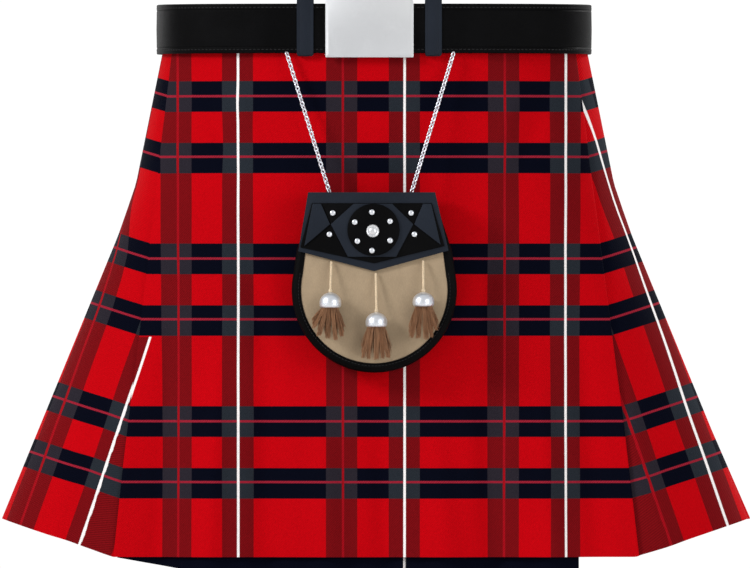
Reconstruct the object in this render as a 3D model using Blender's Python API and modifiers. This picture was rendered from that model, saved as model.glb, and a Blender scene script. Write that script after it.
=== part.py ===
"""Scottish kilt, worn form: hollow pleated skirt with its belt and sporran.

Metres, +Z up, front towards -Y, +X to the viewer's right. The origin is the
centre of the waist at half the height of the belt.

The cloth is one long strip worked out as a centre line on plan rings. A point
of that line is (s, depth): s runs round the ring from the front centre, and
depth goes inwards from the ring. Each cloth piece is a slice of the strip.
"""

import math

import bmesh
import bpy
import numpy as np
from mathutils import Matrix, Vector

# Cloth
WALL = 0.0012  # thickness of the tartan
PITCH = 0.0018  # from one pressed layer to the next
SEAM = 0.0003  # gap between sewn pieces
BEND = PITCH / 2  # radius of a pressed fold, on the centre line

# Plan rings, top to bottom. z_side, z_front and z_back are heights at the hips,
# the front and the back; fold is how many reveals deep a pleat is.
LEVEL_COLUMNS = ("z_side", "z_front", "z_back", "half_width", "front", "back", "fold")
LEVELS = (
    (-0.0183, -0.0183, -0.0183, 0.2128, 0.1118, 0.1200, 2.60),
    (-0.0248, -0.0248, -0.0248, 0.2133, 0.1120, 0.1205, 2.60),
    (-0.1710, -0.1760, -0.1705, 0.2430, 0.1200, 0.1450, 2.60),
    (-0.4898, -0.5268, -0.5140, 0.3740, 0.1380, 0.2350, 2.12),
)
ROWS = (0, 1, 2, 2 + 1 / 3, 2 + 2 / 3, 3)  # rows of the cloth, as places in LEVELS
CENTRE_X = 0.0005
FRONT_POWER, BACK_POWER = 2.6, 2.1  # superellipse powers of the plan
FLAT_SHARE = 0.695  # the hem is level out to this share of the half width
RING_STEPS = 720

# Aprons: x of the edges at the waist and at the hem, seen from the front
APRON_LEFT = (-0.2063, -0.2580)
APRON_RIGHT = (0.2040, 0.2630)
APRON_DEPTH = -0.0012  # centre line of the over apron, outside the ring
TURN_UNDER = 0.014
APRON_COLUMNS = 22
UNDER_EDGE_X = 0.2045
UNDER_DEPTHS = (0.0015, 0.0024, 0.0054)  # at its seam, 30 mm on, and at the free edge
UNDER_DROP, UNDER_SLOPE, UNDER_CORNER_X = 0.0155, 0.179, -0.2595
SEAM_OVERLAP = 0.003

# Pleats
PLEATS = 24
PLEATS_PER_WIDTH = 4
PLEAT_START = math.radians(97)  # plan angle from the front centre
CUT_BACK = 0.0029  # a width is joined this far before an inner fold

# Waistband and belt
BAND_TOP, BAND_BOTTOM, BAND_WALL = 0.022, -0.018, 0.003
BELT_HALF_HEIGHT, BELT_WALL = 0.02475, 0.0032
BELT_WIDTH, BELT_FRONT, BELT_BACK = 0.2163, 0.1174, 0.1232  # of its middle line
BELT_CENTRE_X, BELT_POWER = -0.0004, 2.85
BELT_GAP = 0.012  # between the two belt ends, behind the buckle
BELT_STEPS = 72

# Buckle plate: x from left to right, z from bottom to top
BUCKLE_X, BUCKLE_Z = (-0.0490, 0.0389), (-0.0290, 0.0324)
BUCKLE_THICK, BUCKLE_RIM, BUCKLE_FIELD = 0.0040, 0.0040, 0.0012
BUCKLE_BACK_Y = -0.1196
CLIP_SIZE = (0.040, 0.0010, 0.030)  # bar behind the belt ends
CLIP_NECK = (0.008, 0.0055, 0.024)
CLIP_Y = -0.1147

# Belt loops: (name, x)
LOOPS = (("belt_loop_left", -0.0690), ("belt_loop_right", 0.0587))
LOOP_WIDTH, LOOP_WALL = 0.0168, 0.0011
LOOP_TOP, LOOP_BOTTOM = 0.0320, -0.0278
LOOP_CLEAR = 0.0004  # between a loop and the belt

# Sporran, as one hanging plane: y of each layer's back and front
SPORRAN_X = -0.0002
SPORRAN_Z = -0.2608  # centre of the round part
BODY_RADIUS, PANEL_RADIUS = 0.0822, 0.0733
BODY_TOP_Z, BODY_TOP_HALF = -0.1665, 0.0590
BODY_SHOULDER = (0.0775, -0.2225)
PANEL_TOP_Z, PANEL_TOP_HALF = -0.2100, 0.0672
LAYERS = {  # back, front
    "body": (-0.1310, -0.1610),
    "panel": (-0.1613, -0.1632),
    "rim": (-0.1613, -0.1642),
    "flap": (-0.1652, -0.1674),
    "inset": (-0.1677, -0.1689),
    "plates": (-0.1692, -0.1704),
    "disc": (-0.1707, -0.1727),
}
# Half outlines are not equal on the two sides, so each is given in full: (x, z)
FLAP_OUTLINE = (
    (-0.0660, -0.1636), (0.0603, -0.1636), (0.0737, -0.2216),
    (-0.0003, -0.2420), (-0.0758, -0.2222),
)
INSET_OUTLINE = (
    (-0.0622, -0.1744), (0.0571, -0.1744), (0.0698, -0.2171),
    (0.0, -0.2343), (-0.0737, -0.2184),
)
HEXAGON_OUTLINE = (
    (-0.0207, -0.1750), (0.0175, -0.1750), (0.0386, -0.1954),
    (0.0215, -0.2278), (-0.0265, -0.2278), (-0.0435, -0.1954),
)
PLATE_LEFT_OUTLINE = (
    (-0.0615, -0.1750), (-0.0532, -0.1750), (-0.0443, -0.1954), (-0.0698, -0.2171),
)
PLATE_RIGHT_OUTLINE = (
    (0.0483, -0.1750), (0.0564, -0.1750), (0.0658, -0.2158), (0.0394, -0.1954),
)
FLAP_TURN = 0.0022  # thickness of the flap where it turns over the body
DISC_CENTRE, DISC_RADIUS = (-0.0010, -0.2009), 0.0260
STUD_COLUMNS = ("x", "z", "radius", "carrier")
STUDS = (
    (-0.0415, -0.1842, 0.0027, "inset"), (-0.0448, -0.2054, 0.0027, "inset"),
    (0.0364, -0.1842, 0.0027, "inset"), (0.0397, -0.2054, 0.0027, "inset"),
    (-0.0025, -0.1835, 0.0027, "disc"), (-0.0196, -0.1933, 0.0027, "disc"),
    (0.0155, -0.1925, 0.0027, "disc"), (-0.0170, -0.2122, 0.0027, "disc"),
    (0.0155, -0.2116, 0.0027, "disc"), (-0.0025, -0.2216, 0.0027, "disc"),
    (-0.0017, -0.2021, 0.0064, "disc"),
)

# Chains: top and bottom (x, z); both ends in y
CHAINS = (
    ("chain_left", (-0.0870, -0.0262), (-0.0453, -0.1620)),
    ("chain_right", (0.0783, -0.0262), (0.0373, -0.1620)),
)
CHAIN_TOP_Y, CHAIN_BOTTOM_Y = -0.1180, -0.1450
CHAIN_HALF, CHAIN_TURNS, CHAIN_STEPS = 0.0016, 9, 36
HANGER_SIZE = (0.014, 0.0010, 0.036)
HANGER_Z, HANGER_INSET = -0.004, 0.00255  # height, and distance in from the belt's middle
SWING_AXIS = (-0.1180, -0.0280)  # y and z of the sporran's hinge line

# Tassels: x of cord, top of cord, top and bottom of cap, tip of the hair
TASSEL_COLUMNS = ("name", "x", "z_cord", "z_cap", "z_skirt", "z_tip", "cap_x")
TASSELS = (
    ("left", -0.0430, -0.2325, -0.2630, -0.2784, -0.3102, -0.0438),
    ("middle", 0.0012, -0.2440, -0.2828, -0.2975, -0.3300, 0.0019),
    ("right", 0.0484, -0.2318, -0.2628, -0.2771, -0.3096, 0.0486),
)
TASSEL_PIVOT_Y, TASSEL_Y = -0.1672, -0.1762
CORD_RADIUS, CAP_RADIUS = 0.0012, 0.0111
HAIR_HEAD = (0.0076, 0.0040)  # radius and height of the head that holds the locks
HAIR_RINGS = ((0.0052, 11, 1.0), (0.0022, 5, 0.5))  # root radius, locks, spread
HAIR_SPREAD_X, HAIR_SPREAD_Y = 0.0155, 0.0070
LOCK_ROOT, LOCK_TIP = 0.0016, 0.0020

FINISHES = {  # colour, roughness, metallic
    "tartan_red": ((0.52, 0.003, 0.006), 0.85, 0.0),
    "tartan_navy": ((0.004, 0.006, 0.018), 0.85, 0.0),
    "belt_leather": ((0.006, 0.006, 0.007), 0.45, 0.0),
    "slate_leather": ((0.02, 0.024, 0.033), 0.5, 0.0),
    "suede": ((0.39, 0.29, 0.19), 0.9, 0.0),
    "silver": ((0.75, 0.76, 0.80), 0.3, 1.0),
    "cord": ((0.80, 0.72, 0.58), 0.6, 0.0),
    "hair": ((0.23, 0.11, 0.055), 0.7, 0.0),
}


def clear_scene():
    for old in list(bpy.data.objects):
        bpy.data.objects.remove(old, do_unlink=True)


def finish_of(name):
    """The material of that name, made on first use."""
    made = bpy.data.materials.get(name)
    if made:
        return made
    made = bpy.data.materials.new(name)
    made.use_nodes = True
    colour, roughness, metallic = FINISHES[name]
    shader = made.node_tree.nodes["Principled BSDF"]
    shader.inputs["Base Color"].default_value = (*colour, 1)
    shader.inputs["Roughness"].default_value = roughness
    shader.inputs["Metallic"].default_value = metallic
    return made


def add_object(name, data, finish, parent=None):
    made = bpy.data.objects.new(name, data)
    data.materials.append(finish_of(finish))
    KILT.objects.link(made)
    if parent:
        made.parent = parent
        made.matrix_parent_inverse = Matrix.Translation(-Vector(parent.location))
    return made


def add_pivot(name, place):
    """An empty on a joint's axis, which carries the pieces that move with it."""
    pivot = bpy.data.objects.new(name, None)
    pivot.location = place
    KILT.objects.link(pivot)
    return pivot


# --- plan rings -----------------------------------------------------------


def level_at(place):
    """The columns of LEVELS at a fractional row number."""
    table = np.array(LEVELS)
    rows = np.arange(len(table))
    values = [np.interp(place, rows, column) for column in table.T]
    return dict(zip(LEVEL_COLUMNS, values))


def oval(angle, half_width, front, back, front_power=FRONT_POWER):
    """Plan point at an angle from the front centre."""
    power = np.where(np.cos(angle) > 0, front_power, BACK_POWER)
    across, along = np.sin(angle), np.cos(angle)
    x = half_width * np.sign(across) * np.abs(across) ** (2 / power)
    reach = np.where(along > 0, front, back)
    y = -reach * np.sign(along) * np.abs(along) ** (2 / power)
    return x, y


class Ring:
    """A closed plan line read as position and outward normal against its length."""

    def __init__(self, level, front_power=FRONT_POWER):
        self.level = level
        turn = np.linspace(-math.pi, 3 * math.pi, 2 * RING_STEPS + 1)
        sizes = (level["half_width"], level["front"], level["back"])
        x, y = oval(turn, *sizes, front_power)
        steps = np.hypot(np.diff(x), np.diff(y))
        length = np.concatenate([[0], np.cumsum(steps)])
        self.s = length - np.interp(0, turn, length)
        self.turn = turn
        self.total = self.s[-1] - self.s[-1 - RING_STEPS]
        slope_x, slope_y = np.gradient(x), np.gradient(y)
        size = np.hypot(slope_x, slope_y)
        self.normal = np.stack([slope_y / size, -slope_x / size])
        self.place = np.stack([x + CENTRE_X, y, self.height(x, y)])

    def height(self, x, y):
        """Lower at the front and the back than over the hips."""
        level = self.level
        half = level["half_width"]
        outer = np.clip((np.abs(x) / half - FLAT_SHARE) / (1 - FLAT_SHARE), 0, 1)
        front = level["z_front"] + (level["z_side"] - level["z_front"]) * outer
        share = (y / level["back"]) ** 2
        back = level["z_side"] + (level["z_back"] - level["z_side"]) * share
        return np.where(y < 0, front, back)

    def s_of_angle(self, angle):
        return float(np.interp(angle, self.turn, self.s))

    def s_of_x(self, x):
        """Length from the front centre to the front point at this x."""
        front = np.abs(self.turn) <= math.pi / 2
        return float(np.interp(x, self.place[0][front], self.s[front]))

    def at(self, s, depth):
        """The 3-D point at a length round the ring, set in by a depth."""
        place = [np.interp(s, self.s, row) for row in self.place]
        normal = [np.interp(s, self.s, row) for row in self.normal]
        return (place[0] - depth * normal[0], place[1] - depth * normal[1], place[2])

    def faceted(self, stations):
        """The same ring with straight runs between the stations."""
        made = Ring.__new__(Ring)
        made.level, made.total, made.turn = self.level, self.total, self.turn
        made.s = np.array(stations)
        made.place = np.stack([np.interp(stations, self.s, row) for row in self.place])
        made.normal = np.stack([np.interp(stations, self.s, row) for row in self.normal])
        return made


# --- the cloth strip --------------------------------------------------------


def share_down(row):
    """0 at the waist, 1 at the hem, for edges that run straight down."""
    level = level_at(row)
    waist, hem = LEVELS[1][1], LEVELS[-1][1]
    return (level["z_front"] - waist) / (hem - waist)


def edge_x(ends, row):
    return ends[0] + (ends[1] - ends[0]) * share_down(row)


class Layout:
    """Where the edges and folds lie on one row, and the line through them."""

    def __init__(self, row):
        self.row = row
        ring = Ring(level_at(row))
        self.left = ring.s_of_x(edge_x(APRON_LEFT, row))
        self.right = ring.s_of_x(edge_x(APRON_RIGHT, row))
        self.under_right = ring.s_of_x(UNDER_EDGE_X)
        self.first = ring.s_of_angle(PLEAT_START)
        last = ring.total - self.first
        self.reveal = (last - self.first) / PLEATS
        self.width = self.reveal * ring.level["fold"]
        self.slope = 2 * PITCH / self.reveal
        folds = [self.edge(i) for i in range(-1, PLEATS + 3)]
        inner = self.right - TURN_UNDER
        self.right_run = list(np.linspace(self.right, folds[0], 6))
        around = ring.total + self.left
        self.left_run = list(np.linspace(folds[-1], around, 6))
        self.seam = self.left + SEAM_OVERLAP
        self.apron_run = [self.left, *np.linspace(self.seam, inner, APRON_COLUMNS)]
        stations = [inner, *self.right_run, *folds[1:], *self.left_run[1:]]
        self.back_ring = ring.faceted([*stations, around + SEAM_OVERLAP])
        self.front_ring = ring.faceted([*self.apron_run, self.right])
        self.plain_ring = ring

    def edge(self, i):
        """The visible folded edge of pleat i."""
        return self.first + i * self.reveal

    def top(self, i, s):
        """Depth of the shown layer of pleat i."""
        return WALL / 2 + self.slope * (s - self.edge(i))

    def outer_fold(self, i):
        s, turn = self.edge(i), BEND * self.slope
        depth = WALL / 2
        return [
            (s + BEND, depth + PITCH + turn),
            (s, depth + PITCH / 2),
            (s + BEND, depth + turn),
        ]

    def inner_fold(self, i):
        s = self.edge(i) + self.width
        depth = self.top(i, s)
        turn = BEND * self.slope
        return [
            (s - BEND, depth - turn),
            (s, depth - PITCH / 2),
            (s - BEND, depth - PITCH - turn),
        ]

    def cut(self, i, side):
        """The end of one width of cloth, on the hidden end of pleat i's layer."""
        s = self.edge(i) + self.width - CUT_BACK + side * SEAM / 2
        return (s, self.top(i, s))

    def layer_back(self, i):
        """The hidden layer that runs back from pleat i to the next edge."""
        s = self.edge(i + 2)
        return [(s, self.top(i, s) - PITCH)]

    def pleat(self, i):
        """From the inner fold before an edge to the end of its shown layer."""
        shown = [(self.edge(j), self.top(i, self.edge(j))) for j in (i + 1, i + 2)]
        return self.inner_fold(i - 1) + self.layer_back(i - 1) + self.outer_fold(i) + shown


def pleat_width(layout, first):
    """One width of cloth: a few pleats between two hidden seams."""
    line = [layout.cut(first - 1, 1)]
    for i in range(first, first + PLEATS_PER_WIDTH):
        line += layout.pleat(i)
    line.append(layout.cut(first + PLEATS_PER_WIDTH - 1, -1))
    return [layout.back_ring.at(s, depth) for s, depth in line]


def right_panel(layout):
    """From under the over apron's folded edge to the first inner layer."""
    start, shown = layout.right - TURN_UNDER, WALL / 2
    line = [(start, shown + PITCH), (layout.right_run[0], shown + PITCH)]
    line += [(s, shown) for s in layout.right_run[1:]]
    line += [(layout.edge(j), layout.top(-1, layout.edge(j))) for j in (0, 1)]
    line.append(layout.cut(-1, -1))
    return [layout.back_ring.at(s, depth) for s, depth in line]


def left_panel(layout):
    """From the last inner fold, out over the pleats and on under the apron."""
    line = [layout.cut(PLEATS - 1, 1)] + layout.inner_fold(PLEATS - 1)
    line += layout.layer_back(PLEATS - 1) + layout.outer_fold(PLEATS)
    shown = WALL / 2
    line += [(s, shown) for s in [layout.edge(PLEATS + 1), *layout.left_run[:-1]]]
    around = layout.plain_ring.total
    line.append((around + layout.left, UNDER_DEPTHS[0]))
    line.append((around + layout.seam - SEAM / 2, UNDER_DEPTHS[0]))
    return [layout.back_ring.at(s, depth) for s, depth in line]


def over_apron(layout):
    """Flat front, with its right edge folded under."""
    line = [(s, APRON_DEPTH) for s in layout.apron_run]
    fold = layout.right
    line += [
        (fold - BEND, APRON_DEPTH),
        (fold, APRON_DEPTH + PITCH / 2),
        (fold - BEND, APRON_DEPTH + PITCH),
        (fold - TURN_UNDER, APRON_DEPTH + PITCH),
    ]
    return [layout.front_ring.at(s, depth) for s, depth in line]


def under_apron(layout):
    """The inner front, a little longer than the outer one."""
    start, end = layout.seam + SEAM / 2, layout.under_right
    run = np.linspace(start, end, APRON_COLUMNS)
    depths = np.interp(run, (start, start + 0.03, end), UNDER_DEPTHS)
    points = [layout.plain_ring.at(s, depth) for s, depth in zip(run, depths)]
    if layout.row < ROWS[-1]:
        return points
    drop = [min(UNDER_DROP, UNDER_SLOPE * (x - UNDER_CORNER_X)) for x, _, _ in points]
    return [(x, y, z - d) for (x, y, z), d in zip(points, drop)]


def grid_mesh(name, rows):
    """An open sheet through rows of points, facing outwards.

    Every face is split along the diagonal that falls the same way round the
    ring, so that pressed layers stay parallel where the cloth twists.
    """
    made = bmesh.new()
    grid = [[made.verts.new(point) for point in row] for row in rows]
    for above, below in zip(grid, grid[1:]):
        for a, b, c, d in zip(above, above[1:], below[1:], below):
            if a.co.xy.cross(b.co.xy) > 0:
                made.faces.new((a, d, c))
                made.faces.new((a, c, b))
            else:
                made.faces.new((a, d, b))
                made.faces.new((b, d, c))
    data = bpy.data.meshes.new(name)
    made.to_mesh(data)
    made.free()
    return data


def add_wall(made, thickness, side=0):
    wall = made.modifiers.new("wall", "SOLIDIFY")
    wall.thickness = thickness
    wall.offset = side
    wall.use_even_offset = True
    return made


def make_cloth():
    layouts = [Layout(row) for row in ROWS]

    def cloth(name, section, finish="tartan_red"):
        rows = [section(layout) for layout in layouts]
        add_wall(add_object(name, grid_mesh(name, rows), finish), WALL)

    cloth("over_apron", over_apron)
    cloth("under_apron", under_apron, "tartan_navy")
    cloth("side_panel_right", right_panel)
    for number, first in enumerate(range(0, PLEATS, PLEATS_PER_WIDTH), 1):
        cloth(f"pleats_{number}", lambda layout, at=first: pleat_width(layout, at))
    cloth("side_panel_left", left_panel)


# --- waistband, belt, buckle and loops ----------------------------------------


def make_waistband():
    level = level_at(0)
    turn = np.linspace(0, 2 * math.pi, BELT_STEPS, endpoint=False)
    inset = BAND_WALL / 2
    sizes = (level["half_width"] - inset, level["front"] - inset, level["back"] - inset)
    x, y = oval(turn, *sizes)
    x, y = [*x, x[0]], [*y, y[0]]
    rows = [[(a + CENTRE_X, b, z) for a, b in zip(x, y)] for z in (BAND_TOP, BAND_BOTTOM)]
    made = add_object("waistband", grid_mesh("waistband", rows), "tartan_navy")
    weld = made.modifiers.new("weld", "WELD")
    weld.merge_threshold = 1e-5
    add_wall(made, BAND_WALL)


def belt_line(steps):
    """Middle line of the belt, from one end round the back to the other."""
    sizes = (0, 0, 0, BELT_WIDTH, BELT_FRONT, BELT_BACK, 1)
    ring = Ring(dict(zip(LEVEL_COLUMNS, sizes)), BELT_POWER)
    s = np.linspace(BELT_GAP / 2, ring.total - BELT_GAP / 2, steps)
    x, y, _ = ring.at(s, np.zeros_like(s))
    return x - CENTRE_X + BELT_CENTRE_X, y


def make_belt():
    x, y = belt_line(BELT_STEPS)
    rows = [
        [(a, b, z) for a, b in zip(x, y)] for z in (BELT_HALF_HEIGHT, -BELT_HALF_HEIGHT)
    ]
    made = add_object("belt", grid_mesh("belt", rows), "belt_leather")
    add_wall(made, BELT_WALL)


def box_mesh(name, size, centre, bevel=0.0, inset=None):
    made = bmesh.new()
    bmesh.ops.create_cube(made, size=1)
    bmesh.ops.scale(made, vec=size, verts=made.verts)
    if inset:
        face = min(made.faces, key=lambda f: f.calc_center_median().y)
        bmesh.ops.inset_region(made, faces=[face], thickness=inset[0])
        bmesh.ops.translate(made, vec=(0, inset[1], 0), verts=face.verts)
    if bevel:
        upright = [e for e in made.edges if abs(e.verts[0].co.y - e.verts[1].co.y) > size[1] / 2]
        bmesh.ops.bevel(made, geom=upright, offset=bevel, segments=3, affect="EDGES")
    bmesh.ops.translate(made, vec=centre, verts=made.verts)
    data = bpy.data.meshes.new(name)
    made.to_mesh(data)
    made.free()
    return data


def make_buckle():
    left, right = BUCKLE_X
    bottom, top = BUCKLE_Z
    size = (right - left, BUCKLE_THICK, top - bottom)
    centre = ((left + right) / 2, BUCKLE_BACK_Y - BUCKLE_THICK / 2, (bottom + top) / 2)
    plate = box_mesh("buckle_plate", size, centre, inset=(BUCKLE_RIM, BUCKLE_FIELD))
    add_object("buckle_plate", plate, "silver")
    middle = BELT_CENTRE_X
    bar = add_object("buckle_clip", box_mesh("clip", CLIP_SIZE, (middle, CLIP_Y, 0)), "silver")
    neck_y = BUCKLE_BACK_Y + SEAM + CLIP_NECK[1] / 2
    neck = box_mesh("neck", CLIP_NECK, (middle, neck_y, 0))
    join_box(bar, neck)


def join_box(body, data):
    """Joins a box onto a piece with a Boolean."""
    other = bpy.data.objects.new(data.name, data)
    CUTTERS.objects.link(other)
    other.hide_render = True
    other.display_type = "WIRE"
    other.parent = body.parent
    other.matrix_parent_inverse = body.matrix_parent_inverse
    union = body.modifiers.new("join", "BOOLEAN")
    union.operation = "UNION"
    union.object = other


def belt_front(x, reach):
    """Height of the belt's middle line in y at x, and its lean over that reach."""
    x_line, y_line = belt_line(400)
    front = y_line < 0
    order = np.argsort(x_line[front])
    xs, ys = x_line[front][order], y_line[front][order]
    rise = float(np.interp(x + reach / 2, xs, ys) - np.interp(x - reach / 2, xs, ys))
    return float(np.interp(x, xs, ys)), math.atan2(rise, reach)


def make_loops():
    for name, x in LOOPS:
        y, lean = belt_front(x, LOOP_WIDTH)
        half_gap = BELT_WALL / 2 + LOOP_CLEAR
        made = bmesh.new()
        bmesh.ops.create_cube(made, size=1)
        height = LOOP_TOP - LOOP_BOTTOM
        size = (LOOP_WIDTH, 2 * (half_gap + LOOP_WALL), height)
        bmesh.ops.scale(made, vec=size, verts=made.verts)
        holes = [f for f in made.faces if abs(f.normal.x) > 0.5]
        bmesh.ops.inset_region(made, faces=holes, thickness=LOOP_WALL)
        bmesh.ops.bridge_loops(made, edges=list({e for f in holes for e in f.edges}))
        bmesh.ops.delete(made, geom=holes, context="FACES_ONLY")
        bmesh.ops.recalc_face_normals(made, faces=made.faces)
        place = Matrix.Translation((x, y, (LOOP_TOP + LOOP_BOTTOM) / 2))
        bmesh.ops.transform(made, matrix=place @ Matrix.Rotation(lean, 4, "Z"), verts=made.verts)
        data = bpy.data.meshes.new(name)
        made.to_mesh(data)
        made.free()
        add_object(name, data, "slate_leather")


# --- sporran --------------------------------------------------------------------


def plate_mesh(name, outline, layer, hole=None):
    """A flat outline in the sporran's plane, as thick as its layer."""
    curve = bpy.data.curves.new(name, "CURVE")
    curve.dimensions = "2D"
    curve.fill_mode = "BOTH"
    for points in [outline] + ([hole] if hole else []):
        spline = curve.splines.new("POLY")
        spline.points.add(len(points) - 1)
        for point, (x, z) in zip(spline.points, points):
            point.co = (x, z, 0, 1)
        spline.use_cyclic_u = True
    back, front = LAYERS[layer]
    curve.extrude = abs(front - back) / 2
    holder = bpy.data.objects.new(name, curve)
    bpy.context.scene.collection.objects.link(holder)
    graph = bpy.context.evaluated_depsgraph_get()
    data = bpy.data.meshes.new_from_object(holder.evaluated_get(graph))
    bpy.data.objects.remove(holder)
    upright = Matrix.Translation((0, (back + front) / 2, 0)) @ Matrix.Rotation(math.pi / 2, 4, "X")
    made = bmesh.new()
    made.from_mesh(data)
    bmesh.ops.remove_doubles(made, verts=made.verts, dist=1e-6)
    bmesh.ops.transform(made, matrix=upright, verts=made.verts)
    bmesh.ops.recalc_face_normals(made, faces=made.faces)
    made.to_mesh(data)
    made.free()
    data.name = name
    return data


def arc(radius, start, end, steps):
    """Points of the round lower part, by angle from +X."""
    angles = np.radians(np.linspace(start, end, steps))
    return [
        (SPORRAN_X + radius * math.cos(a), SPORRAN_Z + radius * math.sin(a)) for a in angles
    ]


def body_outline(inset=0.0):
    shoulder_x, shoulder_z = BODY_SHOULDER
    top = [(SPORRAN_X - BODY_TOP_HALF + inset, BODY_TOP_Z - inset)]
    top.append((SPORRAN_X + BODY_TOP_HALF - inset, BODY_TOP_Z - inset))
    right = [(SPORRAN_X + shoulder_x - inset, shoulder_z)]
    left = [(SPORRAN_X - shoulder_x + inset, shoulder_z)]
    return top + right + arc(BODY_RADIUS - inset, 12, -192, 33) + left


def panel_outline(inset=0.0):
    """The suede front: round below, drawn in a little towards the flap."""
    top_z, half = PANEL_TOP_Z - inset, PANEL_TOP_HALF - inset
    top = [(SPORRAN_X - half, top_z), (SPORRAN_X + half, top_z)]
    return top + arc(PANEL_RADIUS - inset, 12, -192, 33)


def add_bevel(made, width, segments=1):
    rounded = made.modifiers.new("rounded", "BEVEL")
    rounded.width = width
    rounded.segments = segments
    rounded.limit_method = "ANGLE"
    rounded.angle_limit = math.radians(50)


def make_pouch(swing):
    body = plate_mesh("sporran_body", body_outline(), "body")
    made = add_object("sporran_body", body, "belt_leather", swing)
    add_bevel(made, 0.004, 2)
    panel = plate_mesh("suede_panel", panel_outline(SEAM), "panel")
    add_object("suede_panel", panel, "suede", swing)
    rim = plate_mesh("sporran_rim", body_outline(0.0042), "rim", hole=panel_outline())
    add_object("sporran_rim", rim, "belt_leather", swing)


def make_flap(swing):
    flap = add_object(
        "flap_frame", plate_mesh("flap_frame", FLAP_OUTLINE, "flap"), "slate_leather", swing
    )
    back, front = LAYERS["body"][0], LAYERS["flap"][1]
    left, right = FLAP_OUTLINE[0][0], FLAP_OUTLINE[1][0]
    size = (right - left - 0.001, back - front - 0.001, FLAP_TURN)
    top = FLAP_OUTLINE[0][1]
    centre = ((left + right) / 2, (back + front) / 2, top - FLAP_TURN / 2)
    join_box(flap, box_mesh("flap_turn", size, centre))
    for name, outline, layer, finish in (
        ("flap_inset", INSET_OUTLINE, "inset", "belt_leather"),
        ("flap_hexagon", HEXAGON_OUTLINE, "plates", "slate_leather"),
        ("flap_plate_left", PLATE_LEFT_OUTLINE, "plates", "slate_leather"),
        ("flap_plate_right", PLATE_RIGHT_OUTLINE, "plates", "slate_leather"),
    ):
        add_object(name, plate_mesh(name, outline, layer), finish, swing)
    disc = [
        (DISC_CENTRE[0] + DISC_RADIUS * math.cos(a), DISC_CENTRE[1] + DISC_RADIUS * math.sin(a))
        for a in np.linspace(0, 2 * math.pi, 32, endpoint=False)
    ]
    add_object("flap_disc", plate_mesh("flap_disc", disc, "disc"), "belt_leather", swing)


def dome_mesh(name, radius, rise, place):
    """A stud: half a flattened ball on its flat base, facing -Y."""
    made = bmesh.new()
    bmesh.ops.create_uvsphere(made, u_segments=10, v_segments=5, radius=radius)
    cut = bmesh.ops.bisect_plane(
        made, geom=made.verts[:] + made.edges[:] + made.faces[:],
        plane_co=(0, 0, 0), plane_no=(0, 0, 1), clear_inner=True,
    )
    rim = [e for e in cut["geom_cut"] if isinstance(e, bmesh.types.BMEdge)]
    bmesh.ops.holes_fill(made, edges=rim, sides=0)
    bmesh.ops.scale(made, vec=(1, 1, rise / radius), verts=made.verts)
    turn = Matrix.Translation(place) @ Matrix.Rotation(math.pi / 2, 4, "X")
    bmesh.ops.transform(made, matrix=turn, verts=made.verts)
    bmesh.ops.recalc_face_normals(made, faces=made.faces)
    data = bpy.data.meshes.new(name)
    made.to_mesh(data)
    made.free()
    return data


def make_studs(swing):
    for number, row in enumerate(STUDS, 1):
        stud = dict(zip(STUD_COLUMNS, row))
        name = f"stud_{number:02d}"
        place = (stud["x"], LAYERS[stud["carrier"]][1] - SEAM, stud["z"])
        data = dome_mesh(name, stud["radius"], 0.7 * stud["radius"], place)
        add_object(name, data, "silver", swing)


def make_chains(swing):
    """Each chain as the twisted bar that its close links fill."""
    for name, top, bottom in CHAINS:
        start = Vector((top[0], CHAIN_TOP_Y, top[1]))
        end = Vector((bottom[0], CHAIN_BOTTOM_Y, bottom[1]))
        along = (end - start).normalized()
        side = along.cross(Vector((0, 1, 0))).normalized()
        out = along.cross(side)
        rows = []
        for share in np.linspace(0, 1, CHAIN_STEPS + 1):
            spin = share * CHAIN_TURNS * math.pi
            size = CHAIN_HALF if 0 < share < 1 else CHAIN_HALF * 0.4
            ring = [spin + math.pi / 2 * k for k in range(5)]
            centre = start.lerp(end, share)
            rows.append(
                [centre + size * (side * math.cos(a) + out * math.sin(a)) for a in ring]
            )
        data = grid_mesh(name, rows)
        made = bmesh.new()
        made.from_mesh(data)
        bmesh.ops.remove_doubles(made, verts=made.verts, dist=1e-7)
        bmesh.ops.holes_fill(made, edges=made.edges, sides=4)
        bmesh.ops.recalc_face_normals(made, faces=made.faces)
        made.to_mesh(data)
        made.free()
        add_object(name, data, "silver", swing)


def make_hangers():
    """Leather tabs behind the belt that the chains hang from."""
    for chain, top, _ in CHAINS:
        y, lean = belt_front(top[0], HANGER_SIZE[0])
        name = chain.replace("chain", "hanger")
        made = add_object(name, box_mesh(name, HANGER_SIZE, (0, 0, 0)), "belt_leather")
        made.location = (top[0], y + HANGER_INSET, HANGER_Z)
        made.rotation_euler = (0, 0, lean)


# --- tassels ------------------------------------------------------------------


def make_cord(row, pivot):
    top = (row["x"], TASSEL_PIVOT_Y, row["z_cord"])
    bottom = (row["cap_x"], TASSEL_Y, row["z_cap"] + SEAM)
    curve = bpy.data.curves.new("cord", "CURVE")
    curve.dimensions = "3D"
    curve.bevel_depth = CORD_RADIUS
    curve.bevel_resolution = 2
    curve.use_fill_caps = True
    spline = curve.splines.new("POLY")
    spline.points.add(1)
    spline.points[0].co = (*top, 1)
    spline.points[1].co = (*bottom, 1)
    add_object(f"tassel_cord_{row['name']}", curve, "cord", pivot)


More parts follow.
